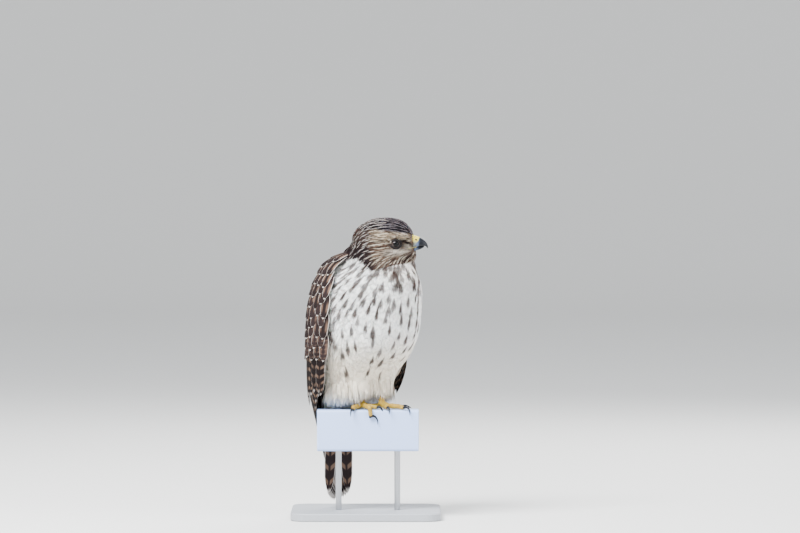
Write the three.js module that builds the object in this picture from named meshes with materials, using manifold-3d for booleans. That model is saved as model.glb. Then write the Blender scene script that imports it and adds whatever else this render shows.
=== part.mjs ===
// A young buteo hawk, life size, perched on a short cut length of rail over a plain display stand.
// Units are millimetres, +Z is up, and the origin is the middle of the base's underside.
// The rail runs along X with its front face to -Y. The bird's own frame stands on the rail's top
// between its feet: it faces its own -Y, its left is its +X, and the frame is turned by BODY_YAW.
import * as THREE from "three";
import { mergeVertices } from "three/addons/utils/BufferGeometryUtils.js";
import Module from "manifold-3d";

const wasm = await Module();
wasm.setup();

const GAP = 0.3; // clearance kept between touching pieces
const SLIVER = 0.06; // faces finer than this merge where vanes cross
const DEG = Math.PI / 180;

// Driving dimensions
const BODY_YAW = 42; // degrees that the body turns from the rail's normal towards the bird's left
const HEAD_YAW = 40; // degrees that the head turns from the body towards the bird's left
const BASE = { x: 224, y: 204, thick: 12, corner: 26 };
const TAIL_DROP = 142; // from the rail's top down to the tail's tip
const TAIL_CLEARANCE = 9; // from the tail's tip down to the base
const RAIL = { long: 152, deep: 40, tall: 62, edge: 3.5, front: -30 };
const ROD = { radius: 4.5, spread: 88 };
const FEET_X = 9; // the midpoint between the feet, from the base's middle
const FEET_Y = -12;
const RAIL_TOP = BASE.thick + TAIL_CLEARANCE + TAIL_DROP;

// Horizontal sections of the body by height over the rail: half width, reach forward and back
// from the section's middle, and where that middle is along the body, forward positive.
const TORSO = {
  z: [1, 6, 18, 34, 56, 72, 93, 116, 150, 178, 196, 213, 230, 240],
  half: [24, 38, 47, 54, 61, 66, 70, 73, 74, 72, 65, 52, 34, 10],
  front: [8, 15, 20, 26, 41, 52, 63, 71, 77, 81, 80, 66, 40, 12],
  back: [16, 28, 38, 50, 67, 75, 80, 81, 82, 78, 72, 60, 44, 14],
  mid: [-50, -48, -42, -32, -17, -9, -2, 0, 0, 0, 2, 6, 8, 8],
  left: [0, 0, 0, 0, 0, 0, 0, 0, 0, 0, 0, 0, 0, 0],
  square: 2.15,
};
const NECK = {
  z: [188, 200, 212, 226, 238, 250, 258],
  half: [50, 56, 57, 52, 46, 34, 12],
  front: [70, 66, 54, 46, 38, 24, 8],
  back: [62, 64, 66, 68, 66, 46, 14],
  mid: [2, 6, 10, 12, 13, 16, 18],
  left: [2, 4, 6, 6, 5, 5, 5],
  square: 2.2,
};
// The surface that the folded wings lie on, down to their tips behind the tail.
const FOLD = {
  z: [-100, -80, -50, -20, 6, 31, 61, 84, 118, 157, 185, 200, 217, 229, 239],
  half: [22, 28, 40, 58, 73, 80, 85, 86, 86, 84, 79, 73, 64, 50, 32],
  front: [20, 26, 42, 62, 76, 82, 85, 85, 84, 80, 73, 68, 60, 46, 28],
  back: [20, 26, 42, 62, 76, 82, 85, 85, 84, 80, 73, 68, 60, 46, 28],
  mid: [-74, -68, -52, -32, -18, -12, -8, -8, -8, -8, -8, -8, -8, -8, -6],
  left: [0, 0, 0, 0, 0, 0, 0, 0, 0, 0, 0, 0, 0, 0, 0],
  square: 3,
};

const HEAD = {
  at: { left: 7, forward: 24, up: 246 },
  half: 37,
  front: 44.5,
  throat: 51, // reach forward below the bill
  back: 49,
  up: 42,
  down: 38,
  square: 2.4,
};
const EYE = { radius: 8.8, forward: 17, side: 25.8, up: 2.4, look: 68 };
const TAIL = {
  back: 84, // how far behind the feet its back face hangs
  deep: 9,
  width: 24,
  spacing: 3.5,
  layer: 1.3,
  pairs: 6,
  rounding: 13,
  root: 22,
  rootLong: 26,
  coverts: 5,
  covertSpacing: 8,
};
const VANE = { thick: 0.7, sink: -6, rise: 0.55, shingle: 1.05 };
const LEG = { tarsus: 3.9, ankle: 16, toe: 3.3, claw: 2.3 };

// Value of a keyed column at z, on a smooth curve through its keys.
function keyed(table, column, z) {
  const zs = table.z;
  const last = zs.length - 1;
  const height = Math.min(Math.max(z, zs[0]), zs[last]);
  let i = 0;
  while (i < last - 1 && height > zs[i + 1]) i++;
  const values = table[column];
  const slope = (k) => {
    const a = Math.max(k - 1, 0);
    const b = Math.min(k + 1, last);
    return (values[b] - values[a]) / (zs[b] - zs[a]);
  };
  const step = zs[i + 1] - zs[i];
  const t = (height - zs[i]) / step;
  const rise = t * t * (3 - 2 * t);
  return (
    values[i] * (1 - rise) +
    values[i + 1] * rise +
    step * (t * (1 - t) * (1 - t) * slope(i) - t * t * (1 - t) * slope(i + 1))
  );
}

// A point of a keyed body: angle 0 is straight ahead, 90 the bird's left, 180 its back.
function onBody(table, z, angle) {
  const [s, c] = [Math.sin(angle), Math.cos(angle)];
  const n = table.square;
  const wide = Math.abs(s / keyed(table, "half", z)) ** n;
  const deep = Math.abs(c / keyed(table, c > 0 ? "front" : "back", z)) ** n;
  const reach = (wide + deep) ** (-1 / n);
  return new THREE.Vector3(keyed(table, "left", z) + reach * s, -keyed(table, "mid", z) - reach * c, z);
}

// A closed skin over rings of equal counts. Edges listed in turned have their quads split the other way.
function skinOver(rings, turned = []) {
  const count = rings[0].length;
  const points = rings.flat();
  const middle = (ring) => ring.reduce((s, p) => s.add(p), new THREE.Vector3()).divideScalar(count);
  points.push(middle(rings[0]), middle(rings.at(-1)));
  const [first, end] = [points.length - 2, points.length - 1];
  const index = [];
  for (let k = 0; k < count; k++) {
    const n = (k + 1) % count;
    for (let r = 0; r < rings.length - 1; r++) {
      const [a, b] = [r * count + k, r * count + n];
      const [c, d] = [b + count, a + count];
      index.push(...(turned.includes(k) ? [a, b, d, b, c, d] : [a, b, c, a, c, d]));
    }
    const top = (rings.length - 1) * count;
    index.push(first, n, k, end, top + k, top + n);
  }
  const geometry = new THREE.BufferGeometry().setFromPoints(points);
  geometry.setIndex(index);
  return geometry;
}

// A closed geometry as a solid, with its faces turned out.
function solid(geometry) {
  const bare = geometry.clone();
  bare.deleteAttribute("normal");
  bare.deleteAttribute("uv");
  const merged = mergeVertices(bare, 1e-4);
  const triVerts = new Uint32Array(merged.index.array);
  const vertProperties = new Float32Array(merged.attributes.position.array);
  const make = () => new wasm.Manifold(new wasm.Mesh({ numProp: 3, vertProperties, triVerts }));
  const made = make();
  if (made.volume() > 0) return made;
  for (let i = 0; i < triVerts.length; i += 3) {
    [triVerts[i + 1], triVerts[i + 2]] = [triVerts[i + 2], triVerts[i + 1]];
  }
  return make();
}

function geometryOf(body) {
  const mesh = body.getMesh();
  const points = new Float32Array(mesh.numVert * 3);
  for (let i = 0; i < mesh.numVert; i++) {
    points.set(mesh.vertProperties.subarray(i * mesh.numProp, i * mesh.numProp + 3), i * 3);
  }
  const geometry = new THREE.BufferGeometry();
  geometry.setAttribute("position", new THREE.BufferAttribute(points, 3));
  geometry.setIndex(new THREE.BufferAttribute(new Uint32Array(mesh.triVerts), 1));
  return geometry;
}

const largest = (body) => body.decompose().reduce((a, b) => (a.volume() > b.volume() ? a : b));
const placed = (body, matrix) => body.transform(matrix.elements);
const joined = (bodies) => wasm.Manifold.union(bodies);

// The body with each vertex moved out by the gap, to cut its neighbours clear of it.
function grown(body, by = GAP) {
  const geometry = geometryOf(body);
  geometry.computeVertexNormals();
  const { position, normal } = geometry.attributes;
  for (let i = 0; i < position.count; i++) {
    position.setXYZ(
      i,
      position.getX(i) + normal.getX(i) * by,
      position.getY(i) + normal.getY(i) * by,
      position.getZ(i) + normal.getZ(i) * by,
    );
  }
  return solid(geometry);
}

function clear(body, ...others) {
  const cut = others.reduce((left, other) => left.subtract(grown(other)), body);
  return largest(cut.simplify(SLIVER));
}

function keyedBody(table, rings, sides) {
  const [low, high] = [table.z[0], table.z.at(-1)];
  const made = [];
  for (let r = 0; r <= rings; r++) {
    const z = (low + high) / 2 - ((high - low) / 2) * Math.cos((Math.PI * r) / rings);
    const ring = [];
    for (let k = 0; k < sides; k++) ring.push(onBody(table, z, (2 * Math.PI * k) / sides));
    made.push(ring);
  }
  return solid(skinOver(made));
}

// A round limb along a curve, with its radius by a function of the share of the way.
function limb(points, radius, rings, sides) {
  const curve = new THREE.CatmullRomCurve3(points);
  const frames = curve.computeFrenetFrames(rings, false);
  const made = [];
  for (let r = 0; r <= rings; r++) {
    const centre = curve.getPointAt(r / rings);
    const size = radius(r / rings);
    const ring = [];
    for (let k = 0; k < sides; k++) {
      const angle = (2 * Math.PI * k) / sides;
      ring.push(
        centre
          .clone()
          .addScaledVector(frames.normals[r], size * Math.cos(angle))
          .addScaledVector(frames.binormals[r], size * Math.sin(angle)),
      );
    }
    made.push(ring);
  }
  return solid(skinOver(made));
}

// Stand: base, two rods and the cut length of rail
function roundedBox(x, y, z, corner, bevel) {
  const [a, b] = [x / 2 - bevel, y / 2 - bevel];
  const outline = new THREE.Shape();
  const turn = corner - bevel;
  outline.absarc(a - turn, b - turn, turn, 0, Math.PI / 2);
  outline.absarc(turn - a, b - turn, turn, Math.PI / 2, Math.PI);
  outline.absarc(turn - a, turn - b, turn, Math.PI, 1.5 * Math.PI);
  outline.absarc(a - turn, turn - b, turn, 1.5 * Math.PI, 2 * Math.PI);
  const options = { depth: z - 2 * bevel, bevelSize: bevel, bevelThickness: bevel, bevelSegments: 1, curveSegments: 3 };
  return new THREE.ExtrudeGeometry(outline, options).translate(0, 0, bevel);
}

const railMiddle = new THREE.Vector3(FEET_X - 6, FEET_Y + RAIL.front + RAIL.deep / 2, RAIL_TOP - RAIL.tall / 2);
const standBase = solid(roundedBox(BASE.x, BASE.y, BASE.thick, BASE.corner, 1.5));
const railSection = roundedBox(RAIL.deep, RAIL.tall, RAIL.long, RAIL.edge + 0.8, 0.8)
  .translate(0, 0, -RAIL.long / 2)
  .rotateX(Math.PI / 2)
  .rotateZ(Math.PI / 2)
  .translate(railMiddle.x, railMiddle.y, railMiddle.z);
const rail = solid(railSection);

function rod(side) {
  const bottom = BASE.thick + GAP;
  const top = RAIL_TOP - RAIL.tall - GAP;
  return solid(
    new THREE.CylinderGeometry(ROD.radius, ROD.radius, top - bottom, 14)
      .rotateX(Math.PI / 2)
      .translate(railMiddle.x + (side * ROD.spread) / 2, railMiddle.y, (top + bottom) / 2),
  );
}

// The bird's frame in the stand's, and the head's in the bird's
const birdFrame = new THREE.Matrix4()
  .makeRotationZ(BODY_YAW * DEG)
  .setPosition(FEET_X, FEET_Y, RAIL_TOP);
const headFrame = new THREE.Matrix4()
  .makeRotationZ(HEAD_YAW * DEG)
  .setPosition(HEAD.at.left, -HEAD.at.forward, HEAD.at.up);
const railFromBird = placed(rail, birdFrame.clone().invert());

// A place on the rail, right and towards the viewer from the midpoint of the feet, in the bird's frame.
function byRail(right, near, up) {
  const point = new THREE.Vector3(FEET_X + right, FEET_Y - near, RAIL_TOP + up);
  return point.applyMatrix4(birdFrame.clone().invert());
}

// Head: a rounded form with brows and shallow eye hollows
function headPoint(direction) {
  const { x, y, z } = direction;
  const forward = -y;
  const below = THREE.MathUtils.smoothstep(-z, 0.12, 0.42);
  const long = forward > 0 ? THREE.MathUtils.lerp(HEAD.front, HEAD.throat, below) : HEAD.back;
  const tall = z > 0 ? HEAD.up : HEAD.down;
  const n = HEAD.square;
  const sum = Math.abs(x / HEAD.half) ** n + Math.abs(forward / long) ** n + Math.abs(z / tall) ** n;
  const point = direction.clone().multiplyScalar(sum ** (-1 / n));
  point.x *= 1 - 0.24 * THREE.MathUtils.smoothstep(-point.y, 8, 46);
  const side = Math.sign(point.x) || 1;
  const bump = (ahead, out, up, spread, size) => {
    const far = point.distanceTo(new THREE.Vector3(side * out, -ahead, up));
    return size * Math.exp(-((far / spread) ** 2));
  };
  const push =
    bump(EYE.forward + 4, 33, EYE.up, 10, -3.2) + bump(8, 33, 13, 8, 2.4) + bump(20, 30, 12, 8, 3) + bump(30, 24, 10, 7, 2.2);
  point.x += side * push;
  return point;
}

function headForm() {
  const ball = new THREE.SphereGeometry(1, 22, 16).rotateX(Math.PI / 2);
  const { position } = ball.attributes;
  const vertex = new THREE.Vector3();
  for (let i = 0; i < position.count; i++) {
    vertex.fromBufferAttribute(position, i).normalize();
    const point = headPoint(vertex);
    position.setXYZ(i, point.x, point.y, point.z);
  }
  return solid(ball);
}

// The eye's middle and the way it looks, in the head's frame.
function eyePlace(side) {
  const look = new THREE.Vector3(Math.sin(EYE.look * DEG) * side, -Math.cos(EYE.look * DEG), -0.02).normalize();
  return { centre: new THREE.Vector3(side * EYE.side, -EYE.forward, EYE.up), look };
}

function eyeball(side) {
  const { centre, look } = eyePlace(side);
  const turn = new THREE.Matrix4().makeRotationFromQuaternion(
    new THREE.Quaternion().setFromUnitVectors(new THREE.Vector3(0, 1, 0), look),
  );
  const ball = new THREE.SphereGeometry(EYE.radius, 12, 8).applyMatrix4(turn);
  return solid(ball.translate(centre.x, centre.y, centre.z));
}

function lids(side) {
  const { centre, look } = eyePlace(side);
  const turn = new THREE.Matrix4().makeRotationFromQuaternion(
    new THREE.Quaternion().setFromUnitVectors(new THREE.Vector3(0, 0, 1), look),
  );
  const ring = new THREE.TorusGeometry(7, 1.7, 5, 12).scale(1.06, 0.94, 1.2).applyMatrix4(turn);
  const at = centre.clone().addScaledVector(look, 5);
  return solid(ring.translate(at.x, at.y, at.z));
}

// Bill: the upper line, the cutting edge and the chin line run forward from the face, in the head's frame.
const CULMEN = [[33, 17.5], [41.5, 15.2], [50.7, 12.2], [58, 7.6], [62.4, 1.6], [63.4, -4.2]];
const TOMIUM = [[33, -3], [41.5, -2.2], [50, -1.4], [56.5, -0.6], [60.2, -1.6], [63, -4.6]];
const CHIN = [[33, -8.6], [40, -8.4], [47, -7.2], [52, -5.6], [55, -4.2], [57.4, -2.6]];
const BILL_HALF = [8, 7.6, 6.4, 4.4, 2.4, 0.5];
const CHIN_HALF = [7, 6.6, 5.5, 4, 2.6, 1];
const CERE_END = 50.4;
const GAPE = { side: 19, forward: 39, up: -3.4 };
const NOSTRIL = { side: 6.1, forward: 45.6, up: 8.4 };

// Height of a line of forward and up pairs at a place forward.
function lineAt(line, forward) {
  const i = Math.max(1, line.findIndex(([ahead]) => ahead >= forward));
  const [[a, low], [b, high]] = [line[i - 1], line[i]];
  return THREE.MathUtils.mapLinear(forward, a, b, low, high);
}

function billForm(upper, lower, half, sides) {
  const rings = upper.map(([forward, up], i) => {
    const [lowForward, lowUp] = lower[i];
    const ring = [];
    for (let k = 0; k < sides; k++) {
      const angle = (Math.PI * k) / (sides - 1);
      const lift = Math.sin(angle) ** 0.85;
      const ahead = THREE.MathUtils.lerp(lowForward, forward, lift);
      ring.push(new THREE.Vector3(half[i] * Math.cos(angle), -ahead, THREE.MathUtils.lerp(lowUp, up, lift)));
    }
    return ring;
  });
  return solid(skinOver(rings));
}

// The line of the mouth runs back from the bill below the eye as a shallow groove.
function gape(side) {
  return solid(new THREE.SphereGeometry(1, 12, 6).scale(7, 9, 0.9).translate(side * GAPE.side, -GAPE.forward, GAPE.up));
}

function nostril(side) {
  const hole = new THREE.SphereGeometry(1, 10, 8).scale(1.5, 2.1, 1.4);
  return solid(hole.translate(side * NOSTRIL.side, -NOSTRIL.forward, NOSTRIL.up));
}

// A thin tapered vane. place(along, across, out) gives its points, along from root to tip as a share.
const LONG_VANE = [[0, 0.5], [0.25, 0.9], [0.6, 1], [0.9, 0.72], [1, 0.14]];
const SHORT_VANE = [[0, 0.5], [0.4, 1], [0.84, 0.84], [1, 0.2]];
function vane(place, width, stations) {
  const rings = stations.map(([along, share]) => {
    const half = (width / 2) * share;
    const deep = VANE.thick * (along === 1 ? 0.5 : 1);
    return [place(along, -half, deep), place(along, half, deep), place(along, half, 0), place(along, -half, 0)];
  });
  return solid(skinOver(rings, [2]));
}

// A point of the folded wing's surface, lifted out from it.
function onFold(side, z, angle, lift) {
  const at = (h, a) => {
    const p = onBody(FOLD, h, a * DEG);
    return new THREE.Vector3(side * p.x, p.y, p.z);
  };
  const up = at(z + 2, angle).sub(at(z - 2, angle));
  const round = at(z, angle + 2).sub(at(z, angle - 2));
  const out = new THREE.Vector3().crossVectors(round, up).multiplyScalar(side).normalize();
  return at(z, angle).addScaledVector(out, lift);
}

// A vane on the fold from a root to a tip, each a height and an angle. It rises from its root, sunk in
// the wing's core, to its tip, so that each tier's tips lie over the next tier's roots.
function foldVane(side, root, tip, width, lift, stations) {
  const place = (along, across, out) => {
    const z = THREE.MathUtils.lerp(root[0], tip[0], along);
    const angle = THREE.MathUtils.lerp(root[1], tip[1], along);
    const perDegree = onFold(side, z, angle + 1, 0).distanceTo(onFold(side, z, angle - 1, 0)) / 2;
    const rise = VANE.sink * (1 - along ** VANE.rise);
    return onFold(side, z, angle + across / perDegree, lift + rise + out);
  };
  return vane(place, width, stations);
}

// Tiers of the folded wing from the lowest up. Roots and tips run from the wing's front edge to the
// back as heights and angles, and dip lowers the tips towards the middle of the row.
const TIERS = [
  { count: 6, root: [[66, 110], [72, 156]], tip: [[-52, 135], [-58, 166]], dip: 34, width: 15, lift: -3.2, long: true },
  { count: 8, root: [[118, 98], [124, 170]], tip: [[26, 108], [-2, 171]], dip: 6, width: 20, lift: -1.4, long: true },
  { count: 5, root: [[160, 97], [164, 143]], tip: [[92, 100], [98, 147]], dip: 4, width: 23, lift: -0.2 },
  { count: 5, root: [[190, 96], [194, 140]], tip: [[134, 97], [138, 144]], dip: 2, width: 22, lift: 0 },
  { count: 5, root: [[216, 98], [216, 136]], tip: [[168, 97], [170, 138]], dip: 2, width: 18, lift: 0 },
  { count: 4, root: [[233, 106], [233, 136]], tip: [[199, 100], [201, 138]], dip: 1, width: 16, lift: 0 },
  { count: 3, root: [[162, 146], [164, 170]], tip: [[98, 146], [104, 171.5]], dip: 3, width: 26, lift: 0.3 },
  { count: 4, root: [[199, 142], [201, 170]], tip: [[140, 142], [144, 171.5]], dip: 2, width: 22, lift: 0.4 },
  { count: 3, root: [[230, 146], [230, 167]], tip: [[180, 146], [182, 170]], dip: 1, width: 24, lift: 0.5 },
];

function wingVanes(side) {
  const vanes = [];
  for (const { count, root, tip, dip, width, lift, long } of TIERS) {
    for (let k = 0; k < count; k++) {
      const share = k / (count - 1);
      const mix = (pair, i) => THREE.MathUtils.lerp(pair[0][i], pair[1][i], share);
      const start = [mix(root, 0), mix(root, 1)];
      const end = [mix(tip, 0) - dip * Math.sin(Math.PI * share), mix(tip, 1)];
      const layer = lift - VANE.shingle * (k % 2);
      vanes.push(foldVane(side, start, end, width, layer, long ? LONG_VANE : SHORT_VANE));
    }
  }
  return vanes;
}

// The wing's body under its feathers
const CORE = {
  rows: [238, 229, 214, 192, 160, 130, 100, 72, 52],
  narrowing: 118, // below this height it draws in towards its lower end
  front: [92, 112], // its front and back edges as angles, there and at its lower end
  back: [176.5, 168],
  steps: 7,
  outer: -4,
  shoulder: { above: 220, outer: -2.5 },
  inner: -12,
};
function wingCore(side) {
  const rings = CORE.rows.map((z) => {
    const share = THREE.MathUtils.mapLinear(Math.min(z, CORE.narrowing), CORE.narrowing, CORE.rows.at(-1), 0, 1);
    const front = THREE.MathUtils.lerp(...CORE.front, share);
    const back = THREE.MathUtils.lerp(...CORE.back, share);
    const outer = z > CORE.shoulder.above ? CORE.shoulder.outer : CORE.outer;
    const spot = (k, lift) => onFold(side, z, THREE.MathUtils.lerp(front, back, k / CORE.steps), lift);
    const ring = [];
    for (let k = 0; k <= CORE.steps; k++) ring.push(spot(k, outer));
    for (let k = CORE.steps; k >= 0; k--) ring.push(spot(k, CORE.inner));
    return ring;
  });
  return solid(skinOver(rings));
}

const wingForm = (side) => joined([wingCore(side), ...wingVanes(side)]).simplify(SLIVER);

// The closed tail hangs straight down behind the rail, its middle feathers outermost at the back.
function tailForm() {
  const pieces = [];
  const hanging = (x, tipX, top, bottom, depth, width, stations) => {
    const place = (along, across, out) =>
      new THREE.Vector3(
        THREE.MathUtils.lerp(x, tipX, along) + across,
        depth + out,
        THREE.MathUtils.lerp(top, bottom, along),
      );
    pieces.push(vane(place, width, stations));
  };
  for (let pair = 0; pair < TAIL.pairs; pair++) {
    for (const side of [-1, 1]) {
      const x = side * TAIL.spacing * (pair + 0.5);
      const shorter = (TAIL.rounding * pair * pair) / TAIL.pairs ** 2;
      const depth = TAIL.back - VANE.thick - TAIL.layer * (pair + (side > 0 ? 0.5 : 0));
      hanging(x * 0.5, x, TAIL.root, shorter - TAIL_DROP, depth, TAIL.width, LONG_VANE);
    }
  }
  for (let k = 0; k < TAIL.coverts; k++) {
    const x = (k - (TAIL.coverts - 1) / 2) * TAIL.covertSpacing;
    const end = 8 * Math.abs(x / TAIL.covertSpacing);
    hanging(x * 0.7, x, TAIL.root - 2, end - 34, TAIL.back + 0.4 - 1.1 * (k % 2), TAIL.width * 0.7, SHORT_VANE);
    hanging(x * 0.7, x, TAIL.root - 2, end - 26, TAIL.back - TAIL.deep - 1.6 + 1.1 * (k % 2), TAIL.width * 0.7, SHORT_VANE);
  }
  const block = roundedBox(TAIL.coverts * TAIL.covertSpacing, TAIL.rootLong, TAIL.deep, 6, 0.8);
  block.rotateX(Math.PI / 2).translate(0, TAIL.back - 0.2, TAIL.root + 4 - TAIL.rootLong / 2);
  return joined([...pieces, solid(block)]);
}

// Legs and feet: hubs right and nearer than the midpoint, each toe's bearing from the viewer and length.
const TOES = ["inner", "middle", "outer", "hind"];
const FOOT = {
  right: { hub: [-15, 11], toes: [[60, 27], [29, 38], [-32, 28], [208, 21]] },
  left: { hub: [15, 4], toes: [[17, 29], [53, 42], [88, 31], [236, 21]] },
};

function hubPoint(name, up) {
  const [right, near] = FOOT[name].hub;
  return byRail(right, near, up);
}

function add(name, body, color, roughness, metalness = 0) {
  const mesh = new THREE.Mesh(geometryOf(body), new THREE.MeshStandardMaterial({ color, roughness, metalness }));
  mesh.name = name;
  return mesh;
}

// A toe lies on the rail's top from the hub, and one that is longer than the top turns down over its edge.
function toePath(name, [bearing, length]) {
  const [right, near] = FOOT[name].hub;
  const angle = bearing * DEG;
  const ahead = [Math.sin(angle), Math.cos(angle)];
  const edge = -RAIL.front;
  const points = [];
  const steps = 6;
  const radius = LEG.toe;
  for (let i = 0; i <= steps; i++) {
    const run = (length * i) / steps;
    const flatRun = ahead[1] > 0.05 ? (edge + radius * 0.6 - near) / ahead[1] : Infinity;
    const over = Math.max(0, run - flatRun);
    const along = Math.min(run, flatRun);
    const arch = 1.6 * Math.sin((Math.PI * i) / steps);
    const x = right + ahead[0] * (along + over * 0.25);
    const y = near + ahead[1] * along + (over > 0 ? radius * 0.55 : 0);
    points.push(byRail(x, y, radius * (i ? 1 : 1.5) + arch - over * 0.95));
  }
  return points;
}

function foot(name) {
  const pieces = FOOT[name].toes.map((toe) => {
    const swell = (t) => LEG.toe * (1.12 - 0.34 * t + 0.1 * Math.sin(t * 3 * Math.PI) ** 2);
    return limb(toePath(name, toe), swell, 8, 6);
  });
  const hub = solid(new THREE.SphereGeometry(5.6, 12, 8).scale(1.1, 1.1, 0.85));
  const at = hubPoint(name, 5.4);
  return joined([...pieces, hub.translate([at.x, at.y, at.z])]);
}

// A talon arches forward from the toe's end and hooks down, or lies over the rail where the toe ends on it.
function claw(name, toe) {
  const path = toePath(name, toe);
  const end = path.at(-1);
  const way = end.clone().sub(path.at(-2)).setZ(0).normalize();
  const long = toe[1] > 35 ? 17 : 14;
  const near = FOOT[name].hub[1] + toe[1] * Math.cos(toe[0] * DEG);
  const hangs = near > 24 || near < -7;
  const at = (ahead, drop) => end.clone().addScaledVector(way, long * ahead).add(new THREE.Vector3(0, 0, -long * drop));
  const resting = (end.z - 1) / long;
  const points = hangs
    ? [at(-0.15, 0), at(0.28, -0.06), at(0.56, 0.22), at(0.62, 0.72)]
    : [at(-0.15, 0), at(0.3, -0.12), at(0.7, 0), at(0.95, resting)];
  return limb(points, (t) => LEG.claw * (1 - t) ** 0.8 + 0.25, 5, 5);
}

// A feathered thigh comes down from the flank and narrows over the ankle.
const THIGH = { side: 30, up: 84, radius: 30, end: 7.5, taper: 0.9, right: -2, near: -3 };
function thigh(name, side) {
  const [right, near] = FOOT[name].hub;
  const ankle = byRail(right + THIGH.right, near + THIGH.near, LEG.ankle);
  const top = new THREE.Vector3(side * THIGH.side, 0, THIGH.up);
  const middle = top.clone().lerp(ankle, 0.55);
  return limb([top, middle, ankle], (t) => THREE.MathUtils.lerp(THIGH.radius, THIGH.end, t ** THIGH.taper), 8, 16);
}

function tarsus(name) {
  const lean = byRail(FOOT[name].hub[0] - 4, FOOT[name].hub[1] - 8, 48);
  const low = hubPoint(name, 6);
  return limb([low, low.clone().lerp(lean, 0.5), lean], (t) => LEG.tarsus * (1 - 0.1 * t), 5, 10);
}

// Assembly, each piece cut clear of those before it
const headSolid = headForm();
const billUpper = billForm(CULMEN, TOMIUM, BILL_HALF, 11);
const chinTop = CHIN.map(([forward]) => [forward, lineAt(TOMIUM, forward) - GAP]);
const billLower = billForm(chinTop, CHIN, CHIN_HALF, 9);
const eyes = { left: eyeball(1), right: eyeball(-1) };
const mouth = joined([billUpper, billLower]);
const lidded = joined([headSolid, lids(1), lids(-1)]).subtract(joined([gape(1), gape(-1)]));
const head = clear(lidded, mouth, eyes.left, eyes.right);
const headInBird = placed(joined([headSolid, lids(1), lids(-1), mouth, eyes.left, eyes.right]), headFrame);
const cereBlock = solid(new THREE.BoxGeometry(60, 60, 60).translate(0, -(CERE_END - GAP / 2 - 30), 0));
const cere = billUpper.intersect(cereBlock).subtract(joined([nostril(1), nostril(-1)]));
const bladeBlock = solid(new THREE.BoxGeometry(60, 60, 60).translate(0, -(CERE_END + GAP / 2 + 30), 0));
const blade = largest(billUpper.intersect(bladeBlock));
const chin = clear(billLower, billUpper);
const faceCore = grown(headSolid, -6);
const shell = (body) => largest(body.subtract(faceCore));

const trunk = keyedBody(TORSO, 18, 24);
const collar = keyedBody(NECK, 9, 20);
const torso = clear(trunk, headInBird);
const neck = clear(collar, headInBird, trunk);
const feet = {};
for (const name of ["right", "left"]) feet[name] = clear(foot(name), railFromBird);
const drums = { right: thigh("right", -1), left: thigh("left", 1) };
const thighs = { right: clear(drums.right, trunk), left: clear(drums.left, trunk, drums.right) };
const tail = clear(tailForm(), trunk);
const wings = {
  right: clear(wingForm(-1), trunk, collar, headInBird, drums.right),
  left: clear(wingForm(1), trunk, collar, headInBird, drums.left),
};

const hawk = new THREE.Group();
hawk.applyMatrix4(birdFrame);
const headGroup = new THREE.Group();
headGroup.applyMatrix4(headFrame);
hawk.add(headGroup);
const stand = new THREE.Group();

stand.add(add("stand_base", standBase, 0xc9ccd1, 0.6));
stand.add(add("stand_rod_right", rod(-1), 0x9a9da3, 0.35, 0.9));
stand.add(add("stand_rod_left", rod(1), 0x9a9da3, 0.35, 0.9));
stand.add(add("perch_rail", rail, 0xdfe6f2, 0.4));
headGroup.add(
  add("head", head, 0x6b5547, 0.9),
  add("cere", shell(cere), 0xd9c64a, 0.5),
  add("beak_upper", blade, 0x2d3442, 0.3),
  add("beak_lower", shell(chin), 0x3a3f4a, 0.35),
  add("eye_right", eyes.right, 0x2a2019, 0.1),
  add("eye_left", eyes.left, 0x2a2019, 0.1),
);
hawk.add(
  add("torso", torso, 0xe9e6e2, 0.95),
  add("neck", neck, 0x5d4a40, 0.9),
  add("wing_right", wings.right, 0x57443a, 0.85),
  add("wing_left", wings.left, 0x57443a, 0.85),
  add("tail", tail, 0x4d4038, 0.85),
);
for (const name of ["right", "left"]) {
  hawk.add(add(`thigh_${name}`, thighs[name], 0xe6e2dc, 0.95));
  const shin = clear(tarsus(name), feet[name], drums[name], trunk, drums[name === "right" ? "left" : "right"]);
  hawk.add(add(`tarsus_${name}`, shin, 0xd9a82f, 0.6));
  hawk.add(add(`foot_${name}`, feet[name], 0xdcb43a, 0.6));
  FOOT[name].toes.forEach((toe, i) => {
    const horn = clear(claw(name, toe), feet[name], railFromBird);
    hawk.add(add(`claw_${name}_${TOES[i]}`, horn, 0x23252c, 0.3));
  });
}

const model = new THREE.Group();
model.add(stand, hawk);
export default model;
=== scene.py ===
"""A young buteo hawk, life size, perched on a cut length of rail over a plain display stand.

Lengths are millimetres in the bird's own frame unless a name says otherwise: it faces its own -Y,
its left is +X, and its origin is on the rail's top between the feet. The head has a frame of its own.
Shares run from 0 to 1, and colours are given as seen, from 0 to 255.
"""

import collections
import itertools
import math

import bmesh
import bpy
import numpy as np
from mathutils import Matrix, Vector
from mathutils.bvhtree import BVHTree
from mathutils.kdtree import KDTree


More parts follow.
